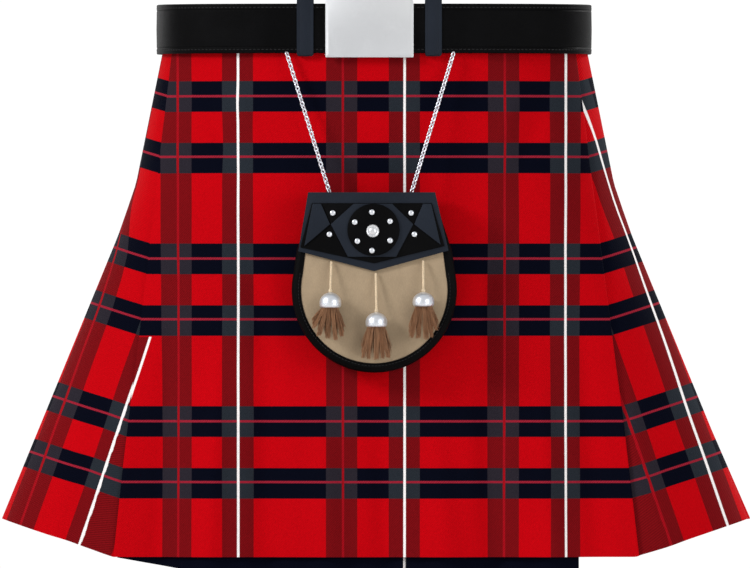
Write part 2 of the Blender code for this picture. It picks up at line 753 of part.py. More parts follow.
def make_cap(row, pivot):
    """A turned silver bell, its profile run down the outside."""
    height = row["z_cap"] - row["z_skirt"]
    profile = [(0, height)]
    for angle in np.radians((72, 54, 36, 18, 4)):
        profile.append((CAP_RADIUS * math.cos(angle), height * math.sin(angle)))
    profile += [(CAP_RADIUS * 0.94, 0), (0, 0)]
    data = bpy.data.meshes.new("cap")
    edges = [(i, i + 1) for i in range(len(profile) - 1)]
    data.from_pydata([(x, 0, z) for x, z in profile], edges, [])
    made = add_object(f"tassel_cap_{row['name']}", data, "silver", pivot)
    turned = made.modifiers.new("turned", "SCREW")
    turned.steps = turned.render_steps = 16
    turned.use_merge_vertices = True
    turned.merge_threshold = 1e-5
    made.location = (row["cap_x"], TASSEL_Y, row["z_skirt"])


def lock_matrix(root, tip):
    """Places a cone of unit direction +Z between a lock's root and tip."""
    along = tip - root
    turn = along.to_track_quat("Z", "Y").to_matrix().to_4x4()
    return Matrix.Translation((root + tip) / 2) @ turn


def make_hair(row, pivot):
    """Locks of hair whose roots are fused in a head under the cap."""
    top = row["z_skirt"] - SEAM
    centre = Vector((row["cap_x"], TASSEL_Y, top - HAIR_HEAD[1] / 2))
    made = bmesh.new()
    for root_radius, locks, spread in HAIR_RINGS:
        for k in range(locks):
            angle = 2 * math.pi * (k + 0.25) / locks
            across, along = math.cos(angle), math.sin(angle)
            root = centre + Vector((across * root_radius, along * root_radius * 0.8, 0))
            tip = Vector((
                row["cap_x"] + across * spread * HAIR_SPREAD_X,
                TASSEL_Y + along * spread * HAIR_SPREAD_Y,
                row["z_tip"] + 0.002 * (k % 3),
            ))
            bmesh.ops.create_cone(
                made, cap_ends=True, segments=4, radius1=LOCK_ROOT, radius2=LOCK_TIP,
                depth=(tip - root).length, matrix=lock_matrix(root, tip),
            )
    name = f"tassel_hair_{row['name']}"
    data = bpy.data.meshes.new(name)
    made.to_mesh(data)
    made.free()
    hair = add_object(name, data, "hair", pivot)
    head = bmesh.new()
    bmesh.ops.create_cone(
        head, cap_ends=True, segments=12, radius1=HAIR_HEAD[0], radius2=HAIR_HEAD[0],
        depth=HAIR_HEAD[1], matrix=Matrix.Translation(centre),
    )
    head_data = bpy.data.meshes.new("hair_head")
    head.to_mesh(head_data)
    head.free()
    join_box(hair, head_data)
    hair.modifiers["join"].use_self = True


def make_sporran():
    swing = add_pivot("sporran_pivot", (0, *SWING_AXIS))
    make_chains(swing)
    make_pouch(swing)
    make_flap(swing)
    make_studs(swing)
    for values in TASSELS:
        row = dict(zip(TASSEL_COLUMNS, values))
        place = (row["x"], TASSEL_PIVOT_Y, row["z_cord"])
        pivot = add_pivot(f"tassel_pivot_{row['name']}", place)
        make_cord(row, pivot)
        make_cap(row, pivot)
        make_hair(row, pivot)


def new_collection(name):
    made = bpy.data.collections.new(name)
    bpy.context.scene.collection.children.link(made)
    return made


clear_scene()
KILT = new_collection("scottish_kilt")
CUTTERS = new_collection("cutters")
make_cloth()
make_waistband()
make_belt()
make_buckle()
make_loops()
make_hangers()
make_sporran()
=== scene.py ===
import math

import bmesh
import bpy
import numpy as np
from mathutils import Matrix, Vector


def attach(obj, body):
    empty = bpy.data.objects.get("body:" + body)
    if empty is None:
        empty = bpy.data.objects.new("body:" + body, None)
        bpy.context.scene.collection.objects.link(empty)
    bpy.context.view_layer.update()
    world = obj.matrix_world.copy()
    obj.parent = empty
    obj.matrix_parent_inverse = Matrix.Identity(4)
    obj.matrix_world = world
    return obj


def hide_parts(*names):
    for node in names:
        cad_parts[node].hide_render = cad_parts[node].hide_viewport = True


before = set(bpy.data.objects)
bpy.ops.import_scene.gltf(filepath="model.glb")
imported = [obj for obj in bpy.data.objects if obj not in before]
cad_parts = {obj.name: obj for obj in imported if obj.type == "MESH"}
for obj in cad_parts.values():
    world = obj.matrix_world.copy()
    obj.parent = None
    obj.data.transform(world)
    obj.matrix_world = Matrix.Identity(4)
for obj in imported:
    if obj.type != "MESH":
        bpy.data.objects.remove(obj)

scene = bpy.context.scene
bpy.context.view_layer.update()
print("frame loaded")


# shader and geometry trees: a Wire is a socket that takes part in Python sums
class Wire:
    def __init__(self, graph, socket):
        self.graph, self.socket = graph, socket

    def sum(self, operation, *others):
        return self.graph.maths(operation, self, *others)

    def __add__(self, other):
        return self.sum("ADD", other)

    def __sub__(self, other):
        return self.sum("SUBTRACT", other)

    def __rsub__(self, other):
        return self.graph.maths("SUBTRACT", other, self)

    def __mul__(self, other):
        return self.sum("MULTIPLY", other)

    def __truediv__(self, other):
        return self.sum("DIVIDE", other)

    def __rtruediv__(self, other):
        return self.graph.maths("DIVIDE", other, self)

    def __abs__(self):
        return self.sum("ABSOLUTE")

    def __neg__(self):
        return self * -1

    __radd__, __rmul__ = __add__, __mul__

    def held(self):  # kept from 0 to 1
        return self.graph.add("ShaderNodeClamp", {}, {0: self})[0]

    def rises(self, start, end):  # 0 at start, 1 at end
        return ((self - start) / (end - start)).held()


class Graph:
    def __init__(self, tree):
        self.tree = tree

    def add(self, kind, settings=None, inputs=None):
        made = self.tree.nodes.new(kind)
        for name, value in (settings or {}).items():
            setattr(made, name, value)
        for key, value in (inputs or {}).items():
            if isinstance(value, Wire):
                self.tree.links.new(value.socket, made.inputs[key])
            else:
                made.inputs[key].default_value = value
        return Outputs(self, made)

    def maths(self, operation, *values):
        return self.add("ShaderNodeMath", {"operation": operation}, dict(enumerate(values)))[0]

    def mix(self, share, first, second):  # of two colours, by the node's colour sockets
        first, second = ((*c, 1) if isinstance(c, tuple) and len(c) == 3 else c for c in (first, second))
        return self.add("ShaderNodeMix", {"data_type": "RGBA"}, {0: share, 6: first, 7: second})[2]

    def scaled(self, colour, share):
        colour = colour if isinstance(colour, Wire) else tuple(colour)
        return self.add("ShaderNodeVectorMath", {"operation": "SCALE"}, {0: colour, 3: share})[0]

    def noise(self, where, scale, detail=3.0, rough=0.55):
        inputs = {"Vector": where, "Scale": scale, "Detail": detail, "Roughness": rough}
        return self.add("ShaderNodeTexNoise", {}, inputs)[0]


class Outputs:
    def __init__(self, graph, made):
        self.graph, self.made = graph, made

    def __getitem__(self, key):
        return Wire(self.graph, self.made.outputs[key])


def shade(*screen):  # a screen's red, green and blue as the renderer's own
    shares = [value / 255 for value in screen]
    return tuple(v / 12.92 if v <= 0.04045 else ((v + 0.055) / 1.055) ** 2.4 for v in shares)


def tinted(colour, share):
    return tuple(share * value for value in colour)


def fullTurn(steps):  # angles evenly round a circle
    return np.linspace(0, 2 * math.pi, steps, endpoint=False)


class Finish:  # a material, its graph and what feeds its shader
    def __init__(self, name, fixed):
        self.material = bpy.data.materials.new(name)
        self.material.use_nodes = True
        self.graph = Graph(self.material.node_tree)
        self.shader = self.material.node_tree.nodes["Principled BSDF"]
        for key, value in fixed.items():
            self.shader.inputs[key].default_value = value

    def feed(self, key, wire):
        self.material.node_tree.links.new(wire.socket, self.shader.inputs[key])

    def bump(self, height, strength, distance):
        inputs = {"Strength": strength, "Distance": distance, "Height": height}
        self.feed("Normal", self.graph.add("ShaderNodeBump", {}, inputs)["Normal"])

    def places(self, stretch=(1, 1, 1)):
        where = self.graph.add("ShaderNodeTexCoord")["Object"]
        if stretch == (1, 1, 1):
            return where
        return self.graph.add("ShaderNodeMapping", {}, {"Vector": where, "Scale": stretch})[0]


# camera and light
studio = {
    "distance": 20.0, "aim": (0.0005, -0.05, -0.2548), "frameWidth": 0.75,
    "floorZ": -0.70, "floorRadius": 2.4, "floorSides": 96,
    "floorColour": shade(232, 231, 228), "floorCloud": (3.0, 0.97),  # scale and tone of its faint clouds
    "sky": 0.50, "skyBehind": 1.05, "skyEdge": (0.55, 0.95),  # light in front and behind, where it changes
    "lampAim": (0, 0, -0.27),
    "lamps": (  # place, size, watts
        ((-3.5, -2.4, 1.9), 1.2, 116),
        ((2.7, -3.0, 0.4), 2.2, 38),
        ((3.3, 2.7, 1.9), 1.3, 110),
        ((-2.8, 2.9, 0.6), 2.0, 24),
    ),
}


def makeStudio():
    data = bpy.data.cameras.new("camera")
    aim = Vector(studio["aim"])
    data.lens = data.sensor_width * studio["distance"] / studio["frameWidth"]
    camera = bpy.data.objects.new("camera", data)
    camera.location = aim + Vector((0, -studio["distance"], 0))
    camera.rotation_euler = (math.pi / 2, 0, 0)
    scene.collection.objects.link(camera)
    scene.camera = camera
    scene.view_settings.view_transform = "Standard"
    for number, (place, size, watts) in enumerate(studio["lamps"], 1):
        lamp = bpy.data.lights.new(f"lamp{number}", "AREA")
        lamp.size, lamp.energy = size, watts
        holder = bpy.data.objects.new(lamp.name, lamp)
        holder.location = place
        way = Vector(studio["lampAim"]) - Vector(place)
        holder.rotation_euler = way.to_track_quat("-Z", "Y").to_euler()
        scene.collection.objects.link(holder)
    world = bpy.data.worlds.new("studio")
    world.use_nodes = True
    scene.world = world
    graph = Graph(world.node_tree)
    towards = graph.add("ShaderNodeTexCoord")["Generated"]
    behind = graph.add("ShaderNodeSeparateXYZ", {}, {0: towards})["Y"].rises(*studio["skyEdge"])
    strength = studio["sky"] + (studio["skyBehind"] - studio["sky"]) * behind
    light = graph.add("ShaderNodeBackground", {}, {"Color": (1, 1, 1, 1), "Strength": strength})
    world.node_tree.links.new(light[0].socket, world.node_tree.nodes["World Output"].inputs["Surface"])
    radius, turns = studio["floorRadius"], fullTurn(studio["floorSides"])
    edge = [(radius * math.cos(a), radius * math.sin(a), studio["floorZ"]) for a in turns]
    floor = bpy.data.meshes.new("floor")
    floor.from_pydata(edge, [], [list(range(len(edge)))])
    paint = Finish("floorPaint", {"Roughness": 0.9, "Specular IOR Level": 0.1})
    colour, (scale, cloudTone) = studio["floorColour"], studio["floorCloud"]
    cloud = paint.graph.noise(paint.places(), scale)
    paint.feed("Base Color", paint.graph.mix(cloud, colour, tinted(colour, cloudTone)))
    floor.materials.append(paint.material)
    holder = bpy.data.objects.new("floor", floor)
    scene.collection.objects.link(holder)


makeStudio()
print("camera and studio ready")


# finishes
sett = {  # the tartan, in millimetres of cloth
    "across": 161.0, "down": 162.1, "downStart": 67.4,
    "bandsAcross": ((0.0, -16.6, 14.3), (61.5, -15.7, 15.2)),  # line, and the band either side of it
    "bandsDown": ((0.0, -15.0, 15.6), (60.5, -13.9, 16.5)),
    "lineHalf": 1.15, "whiteHalf": 1.22, "soft": 0.5,
    "ground": shade(190, 2, 13), "darkAcross": shade(117, 11, 17), "darkDown": shade(5, 7, 21),
    "crossing": (shade(41, 37, 45), shade(38, 43, 50)),
    "fineAcross": shade(158, 13, 25), "fineDown": shade(150, 31, 49), "white": shade(252, 247, 247),
    # the twill: its pitch, its tone in one yarn, how much more where two cross, and how much white hides it
    "rib": 1.7, "ribTone": 0.07, "ribCrossed": 0.16, "ribHidden": 0.75,
    "fuzz": (900.0, 0.55), "cloud": (9.0, 0.16),  # scale and tone of single threads and of the whole cloth
    "relief": (0.5, 0.8, 0.22, 0.0004),  # share of the twill and of single threads, strength and depth
    "fixed": {"Roughness": 0.92, "Specular IOR Level": 0.04},
    # by the right side's white line: threads and cloth down with no dark warp, and with black crossings
    "bare": ((366.0, 401.0), (-20.0, 125.0)), "black": ((366.0, 401.0), (205.0, 312.0)),
    # the left side's white line carried onto the apron: where it starts, and the last thread that shows it
    "stray": {"thread": -188.1, "down": 307.2, "lean": -0.310, "half": 1.2, "last": -176.0},
}


def makeTartan():
    made = Finish("tartan", sett["fixed"])
    graph, where = made.graph, made.places()
    thread = graph.add("ShaderNodeUVMap", {"uv_map": "thread"})["UV"]
    split = graph.add("ShaderNodeSeparateXYZ", {}, {0: thread})
    across, down = split["X"] * sett["across"], split["Y"] * sett["down"]
    plain = graph.add("ShaderNodeAttribute", {"attribute_name": "plain"})["Fac"]

    def fromLine(place, line, repeat):
        return graph.maths("FLOORED_MODULO", place - (line - repeat / 2), repeat) - repeat / 2

    def within(distance, low, high):
        soft = sett["soft"]
        return ((distance - low) / soft + 0.5).held() * ((high - distance) / soft + 0.5).held()

    def stripes(place, bands, repeat, start=0.0):
        gaps = [fromLine(place, start + line, repeat) for line, _, _ in bands]
        return gaps, [within(gap, low, high) for gap, (_, low, high) in zip(gaps, bands)]

    def patch(threads, lengths):
        return within(across, *threads) * within(down, *lengths)

    def thin(gap, half):
        return within(gap, -half, half)

    gapsAcross, (bandA, bandB) = stripes(across, sett["bandsAcross"], sett["across"])
    gapsDown, (levelA, levelB) = stripes(down, sett["bandsDown"], sett["down"], sett["downStart"])
    shown = (1 - plain).held()
    stray = sett["stray"]
    fromStray = across - stray["thread"] - (down - stray["down"]) * stray["lean"]
    astray = (down - stray["down"]).held() * (stray["last"] - across).held()
    bandA, bandB = bandA * shown, (bandB + (-fromStray).held() * astray) * shown
    dark, level = bandA + bandB, levelA + levelB
    fine = thin(gapsAcross[0], sett["lineHalf"])
    white = thin(gapsAcross[1], sett["whiteHalf"]) + thin(fromStray, stray["half"]) * astray
    levelLine = thin(gapsDown[0], sett["lineHalf"]) + thin(gapsDown[1], sett["lineHalf"])
    colour = graph.mix(dark * (1 - patch(*sett["bare"])), sett["ground"], sett["darkAcross"])
    grey = dark * (1 - patch(*sett["black"]))
    crossA, crossB = sett["crossing"]
    crossing = graph.mix(bandB * grey, graph.mix(grey, sett["darkDown"], crossA), crossB)
    colour = graph.mix(level, colour, crossing)
    colour = graph.mix(levelLine * shown, colour, sett["fineDown"])
    colour = graph.mix(fine * shown, colour, sett["fineAcross"])
    white = (white * (2 - plain).held()).held()
    colour = graph.mix(white, colour, sett["white"])
    rib = graph.maths("SINE", (across + down) * (2 * math.pi / (sett["rib"] * math.sqrt(2))))
    mixed = abs(dark - level).held()
    (fuzzScale, fuzzTone), (cloudScale, cloudTone) = sett["fuzz"], sett["cloud"]
    fuzz = graph.noise(where, fuzzScale, 2.0)
    cloud = graph.noise(where, cloudScale, 2.0)
    ribbed = rib * (sett["ribTone"] + sett["ribCrossed"] * mixed) * (1 - sett["ribHidden"] * white)
    tone = 1 + ribbed + (fuzz - 0.5) * fuzzTone + (cloud - 0.5) * cloudTone
    made.feed("Base Color", graph.scaled(colour, tone))
    ribRelief, fuzzRelief, strength, depth = sett["relief"]
    made.bump(rib * ribRelief + fuzz * fuzzRelief, strength, depth)
    return made.material


hide = {  # leather
    "pores": 2.2, "patches": 22.0,  # pores to a grain, worn patches to a metre
    "worn": (0.45, 0.80), "wornSmooth": 0.06,
    "poreTone": 0.24, "poreRough": 0.22, "poreRelief": 0.5, "crack": 0.25, "relief": (0.35, 0.0002),
}


def makeLeather(name, colour, grain, roughness, wornTone, gloss=0.055):
    made = Finish(name, {"Specular IOR Level": gloss})
    graph, where = made.graph, made.places()
    cells = {"Vector": where, "Scale": 1 / grain}
    cracks = graph.add("ShaderNodeTexVoronoi", {"feature": "DISTANCE_TO_EDGE"}, cells)["Distance"]
    pores = graph.noise(where, hide["pores"] / grain, 2.0)
    worn = graph.noise(where, hide["patches"], 4.0).rises(*hide["worn"])
    tone = graph.mix(worn, colour, tinted(colour, wornTone))
    made.feed("Base Color", graph.scaled(tone, 1 + (pores - 0.5) * hide["poreTone"]))
    made.feed("Roughness", roughness + (pores - 0.5) * hide["poreRough"] - worn * hide["wornSmooth"])
    made.bump(cracks.rises(0.0, hide["crack"]) + pores * hide["poreRelief"], *hide["relief"])
    return made.material


suede = {
    "fixed": {"Specular IOR Level": 0.1, "Sheen Weight": 0.25, "Sheen Roughness": 0.6},
    "nap": (0.35, 1500.0), "brushed": (0.6, 55.0),  # stretch down the panel and scale
    "brushedOver": (0.34, 0.66), "brushedTones": (0.93, 1.05), "brushedRough": 0.12, "brushedRelief": 0.6,
    "napTone": 0.32, "roughness": 0.86, "relief": (0.55, 0.0003),
}


def makeSuede(colour):
    made = Finish("suedeNap", suede["fixed"])
    graph, (napStretch, napScale), (stretch, scale) = made.graph, suede["nap"], suede["brushed"]
    nap = graph.noise(made.places((1, 1, napStretch)), napScale, 2.0)
    brushed = graph.noise(made.places((1, 1, stretch)), scale, 4.0, 0.6)
    dark, light = (tinted(colour, share) for share in suede["brushedTones"])
    tone = graph.mix(brushed.rises(*suede["brushedOver"]), dark, light)
    made.feed("Base Color", graph.scaled(tone, 1 + (nap - 0.5) * suede["napTone"]))
    made.feed("Roughness", suede["roughness"] + brushed * suede["brushedRough"])
    made.bump(nap + brushed * suede["brushedRelief"], *suede["relief"])
    return made.material


plate = {  # silver: stretch across and scale of its brushed lines, then clouds of duller metal
    "brushed": (0.08, 2600.0), "cloud": 60.0, "dull": (0.52, 0.74),
    "brushedRough": 0.10, "dullRough": 0.12, "cloudRelief": 0.6, "relief": (0.06, 0.0001),
}


def makeMetal(name, colour, roughness, dullTone, metallic):
    made = Finish(name, {"Metallic": metallic})
    graph, (stretch, scale) = made.graph, plate["brushed"]
    brushed = graph.noise(made.places((stretch, 1, 1)), scale, 2.0)
    cloud = graph.noise(made.places(), plate["cloud"], 3.0)
    dull = cloud.rises(*plate["dull"])
    made.feed("Base Color", graph.mix(dull, colour, tinted(colour, dullTone)))
    made.feed("Roughness", roughness + (brushed - 0.5) * plate["brushedRough"] + dull * plate["dullRough"])
    made.bump(brushed + cloud * plate["cloudRelief"], *plate["relief"])
    return made.material


yarn = {
    "fixed": {"Specular IOR Level": 0.25, "Sheen Weight": 0.1},
    "strand": (0.3, 0.7), "clump": (0.3, 6), "clumpTone": 0.5,  # a clump's stretch, and how many strands wide
    "strandRough": 0.2, "relief": (0.3, 0.0001),
}


def makeYarn(name, colour, spread, along, scale, roughness=0.72):
    made = Finish(name, yarn["fixed"])
    graph, (stretch, strands) = made.graph, yarn["clump"]
    strand = graph.noise(made.places((1, 1, along)), scale, 2.0)
    clump = graph.noise(made.places((1, 1, stretch)), scale / strands, 2.0)
    tone = graph.mix(strand.rises(*yarn["strand"]), tinted(colour, 1 - spread), tinted(colour, 1 + spread))
    made.feed("Base Color", graph.scaled(tone, 1 + (clump - 0.5) * yarn["clumpTone"]))
    made.feed("Roughness", roughness + (strand - 0.5) * yarn["strandRough"])
    made.bump(strand, *yarn["relief"])
    return made.material


finishes = {
    # colour, then a hide's grain size, roughness and worn tone, a metal's roughness, dull tone and share of
    # metal, or a yarn's spread of tone, stretch along, scale and roughness
    "tartan": makeTartan(),
    "beltLeather": makeLeather("beltLeather", shade(6, 6, 7), 0.0013, 0.50, 1.8, gloss=0.04),
    "pouchLeather": makeLeather("pouchLeather", shade(6, 6, 7), 0.0016, 0.52, 1.8, gloss=0.045),
    "slateLeather": makeLeather("slateLeather", shade(34, 39, 48), 0.0014, 0.50, 1.22),
    "lining": makeYarn("bandLining", shade(24, 25, 32), 0.25, 1.0, 900.0, 0.9),
    "suede": makeSuede(shade(168, 147, 120)),
    "buckleSilver": makeMetal("buckleSilver", shade(238, 240, 243), 0.36, 0.92, 0.80),
    "brightSilver": makeMetal("brightSilver", shade(238, 242, 250), 0.33, 0.92, 0.76),
    "cord": makeYarn("cordYarn", shade(226, 204, 172), 0.20, 0.3, 1600.0),
    "hair": makeYarn("tasselHair", shade(150, 108, 77), 0.30, 0.04, 1500.0, 0.6),
    "thread": makeYarn("sewingThread", shade(30, 30, 32), 0.2, 1.0, 2500.0),
}
print("finishes made")


# building helpers
def meshOf(name, points, faces, threads=None):
    data = bpy.data.meshes.new(name)
    data.from_pydata([tuple(p) for p in points], [], faces)
    if threads is not None:  # place in the sett of each point
        layer = data.uv_layers.new(name="thread")
        corners = np.empty(len(data.loops), np.int32)
        data.loops.foreach_get("vertex_index", corners)
        layer.data.foreach_set("uv", np.asarray(threads, np.float32)[corners].ravel())
    data.validate()
    return data


def gridFaces(rows, columns, ring=False, closed=False):
    # between rows of points; a ring joins each row's ends, and closed joins the last row to the first
    faces, total = [], rows * columns
    for start in range(0, total if closed else total - columns, columns):
        for column in range(columns if ring else columns - 1):
            here, after = start + column, start + (column + 1) % columns
            faces.append(tuple(i % total for i in (here, here + columns, after + columns, after)))
    return faces


def endCaps(count, total):  # the first and the last ring of a bar
    return [tuple(range(count)), tuple(range(total - 1, total - count - 1, -1))]


def loose(data):
    made = bpy.data.objects.new(data.name, data)
    scene.collection.objects.link(made)
    return made


def evaluated(made):  # the mesh that live modifiers give
    bpy.context.view_layer.update()
    graph = bpy.context.evaluated_depsgraph_get()
    return bpy.data.meshes.new_from_object(made.evaluated_get(graph), depsgraph=graph)


def settle(made):  # live modifiers become plain mesh
    data = evaluated(made)
    made.modifiers.clear()
    made.data = data
    return made


def dress(made, finish, body, standsFor=(), sharpAt=42, recalc=False):
    if recalc:
        work = bmesh.new()
        work.from_mesh(made.data)
        bmesh.ops.recalc_face_normals(work, faces=work.faces)
        work.to_mesh(made.data)
        work.free()
    if finish:
        made.data.materials.clear()
        made.data.materials.append(finishes[finish])
    made.data.shade_smooth()
    made.data.set_sharp_from_angle(angle=math.radians(sharpAt))
    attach(made, body)
    if standsFor:
        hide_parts(*standsFor)
    return made


def softened(node, name, finish, body, width, segments=2, faceAngle=50):
    # a copy of a hard node with its edges eased
    work = bmesh.new()
    work.from_mesh(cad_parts[node].data)
    bmesh.ops.remove_doubles(work, verts=work.verts, dist=2e-6)
    bmesh.ops.dissolve_limit(work, angle_limit=math.radians(1), verts=work.verts, edges=work.edges)
    data = bpy.data.meshes.new(name)
    work.to_mesh(data)
    work.free()
    made = loose(data)
    ease = made.modifiers.new("ease", "BEVEL")
    ease.width, ease.segments, ease.limit_method = width, segments, "ANGLE"
    ease.angle_limit = math.radians(faceAngle)
    ease.harden_normals = False
    return dress(settle(made), finish, body, (node,))


def sweep(name, line, outward, profile, closed=False):
    # profile points are (outward, up) from the line
    rows = [[p + o * a + Vector((0, 0, b)) for a, b in profile] for p, o in zip(line, outward)]
    count = len(profile)
    points = [q for row in rows for q in row]
    faces = gridFaces(len(rows), count, True, closed)
    return meshOf(name, points, faces if closed else faces + endCaps(count, len(points)))


def strapProfile(thick, half, ease):
    # a strap's cross-section with eased edges
    made = []
    for k, (sideOut, sideUp) in enumerate(((1, 1), (-1, 1), (-1, -1), (1, -1))):
        start = math.pi / 2 * k
        for a in np.linspace(start, start + math.pi / 2, 5):
            out = sideOut * (thick / 2 - ease) + ease * math.cos(a)
            up = sideUp * (half - ease) + ease * math.sin(a)
            made.append((out, up))
    return made


def tube(points, radius, sides):
    # a round bar along points
    made, side = [], None
    for k, p in enumerate(points):
        way = (points[min(k + 1, len(points) - 1)] - points[max(k - 1, 0)]).normalized()
        if side is None:
            side = way.cross(Vector((0, 1, 0.01))).normalized()
        side = (side - way * side.dot(way)).normalized()
        up = way.cross(side)
        made += [p + radius * (side * math.cos(a) + up * math.sin(a)) for a in fullTurn(sides)]
    return made, gridFaces(len(points), sides, True) + endCaps(sides, len(made))


def gathered(parts):  # several (points, faces) as one
    points, faces = [], []
    for some, held in parts:
        start = len(points)
        points += [tuple(p) for p in some]
        faces += [tuple(i + start for i in face) for face in held]
    return points, faces


def turned(profile, centre, axis, steps):
    # a profile of (radius, height) turned round an axis through centre
    axis = Vector(axis).normalized()
    side = axis.cross(Vector((0, 1, 0)) if abs(axis.y) < 0.9 else Vector((1, 0, 0))).normalized()
    up = axis.cross(side)
    points, rows = [], []
    for radius, height in profile:
        base = Vector(centre) + axis * height
        if not radius:
            rows.append([len(points)])
            points.append(base)
            continue
        rows.append(list(range(len(points), len(points) + steps)))
        points += [base + radius * (side * math.cos(a) + up * math.sin(a)) for a in fullTurn(steps)]
    faces = []
    for low, high in zip(rows, rows[1:]):
        for k in range(steps):
            n = (k + 1) % steps
            if len(low) == 1 and len(high) == 1:
                continue
            if len(low) == 1:
                faces.append((low[0], high[k], high[n]))
            elif len(high) == 1:
                faces.append((low[k], high[0], low[n]))
            else:
                faces.append((low[k], high[k], high[n], low[n]))
    return points, faces


def pillow(name, outline, back, front, ease, backEase, dome=0.0):
    # a closed outline (x, z) as a padded plate between two depths, domed to the front
    outline = np.array(outline, float)
    centre = outline.mean(0)
    inward = centre - outline
    reach = np.linalg.norm(inward, axis=1, keepdims=True)
    inward /= reach
    loops = []
    for a in np.linspace(0, math.pi / 2, 3):
        loops.append((outline + inward * backEase * (1 - math.sin(a)), back - backEase * (1 - math.cos(a))))
    for a in np.linspace(0, math.pi / 2, 5):
        loops.append((outline + inward * ease * (1 - math.cos(a)), front + ease * (1 - math.sin(a))))
    flat = loops[-1][0]
    for share in np.linspace(1, 0, 11)[1:-1]:
        loops.append((centre + (flat - centre) * share, front - dome * (1 - share ** 2)))
    count = len(outline)
    points = [(x, y, z) for loop, y in loops for x, z in loop]
    faces = gridFaces(len(loops), count, True)
    tip = len(points)
    points += [(centre[0], front - dome, centre[1]), (centre[0], back, centre[1])]
    last = tip - count
    for k in range(count):
        n = (k + 1) % count
        faces += [(last + k, tip, last + n), (n, tip + 1, k)]
    return meshOf(name, points, faces)


def newTree(name, **inputs):
    tree = bpy.data.node_groups.new(name, "GeometryNodeTree")
    tree.interface.new_socket(name="Geometry", in_out="OUTPUT", socket_type="NodeSocketGeometry")
    for label, kind in {"Geometry": "Geometry", **inputs}.items():
        tree.interface.new_socket(name=label, in_out="INPUT", socket_type="NodeSocket" + kind)
    graph = Graph(tree)
    return graph, graph.add("NodeGroupInput")


def endTree(graph, geometry, given):
    solid = graph.add("GeometryNodeRealizeInstances", {}, {0: geometry})[0]
    coloured = graph.add("GeometryNodeSetMaterial", {}, {"Geometry": solid, "Material": given["Material"]})[0]
    graph.add("NodeGroupOutput", {}, {0: coloured})
    return graph.tree


def grown(made, tree, values):
    # runs a geometry tree on an object and keeps the mesh
    step = made.modifiers.new("grow", "NODES")
    step.node_group = tree
    names = {item.name: item.identifier for item in tree.interface.items_tree if item.in_out == "INPUT"}
    for label, value in values.items():
        step[names[label]] = value
    data = evaluated(made)
    data.name = made.name
    bpy.data.objects.remove(made)
    return loose(data)


def lineObject(name, runs):  # poly curves through lists of points
    curve = bpy.data.curves.new(name, "CURVE")
    curve.dimensions = "3D"
    for points in runs:
        spline = curve.splines.new("POLY")
        spline.points.add(len(points) - 1)
        for point, place in zip(spline.points, points):
            point.co = (*place, 1)
    return loose(curve)


# the cloth: one strip worked out on plan rings, as (length round, depth in)
kilt = {
    "wall": 0.0012, "pitch": 0.0018, "seam": 0.0003,
    # z at the sides, in front and behind, half width, reach in front and behind, a pleat's width in reveals
    "levels": (  # the cloth's top, the belt's foot, the hips and the hem
        (-0.0183, -0.0183, -0.0183, 0.2128, 0.1118, 0.1200, 2.60),
        (-0.0248, -0.0248, -0.0248, 0.2133, 0.1120, 0.1205, 2.60),
        (-0.1710, -0.1760, -0.1705, 0.2430, 0.1200, 0.1450, 2.60),
        (-0.4898, -0.5268, -0.5140, 0.3740, 0.1380, 0.2350, 2.12),
    ),
    "centreX": 0.0005, "frontPower": 2.6, "backPower": 2.1, "flatShare": 0.695, "ringSteps": 720,
    "rowsAbove": 20, "rowsBelow": 48, "hipsEased": (0.16, 0.4),  # rows mixed at the hips, and how near them
    "apronLeft": (-0.2012, -0.2585), "apronRight": (0.2002, 0.2632), "apronDepth": -0.0012,
    "turnUnder": 0.014, "seamOverlap": 0.003, "tuck": 0.012, "sinks": 0.018,
    "pleats": 24, "perWidth": 4, "pleatStart": math.radians(97), "cutBack": 0.0029, "besideFold": 0.0012,
    "bulge": 0.0013, "lap": 0.001, "hangsFrom": 1.9,  # the row from which cloth hangs free
    "rise": 0.31, "riseOver": (-0.03, 0.0),  # the pattern's slope past the apron, and y over which it ends
}
under = {  # the under apron: its depths from seam to free edge, and the hem that drops below the front
    "edgeX": 0.2045, "depths": (0.0015, 0.0024, 0.0054), "seamSpread": 0.03,
    "drop": 0.0155, "slope": 0.179, "cornerX": -0.2595, "dropsFrom": 8 / 3,
    # its pattern, in millimetres: all of it moved down, and its foot squeezed past a level
    "moved": 12.6, "squeezedRows": 2.9, "squeezedFrom": 526.8, "squeeze": 0.85,
    # from this row on plain, but for the white line and so much cloth beside it
    "plainFrom": 2.5, "whiteLine": 61.5, "beside": 30.0,
}
bend = kilt["pitch"] / 2
frontHem = kilt["levels"][-1][1]

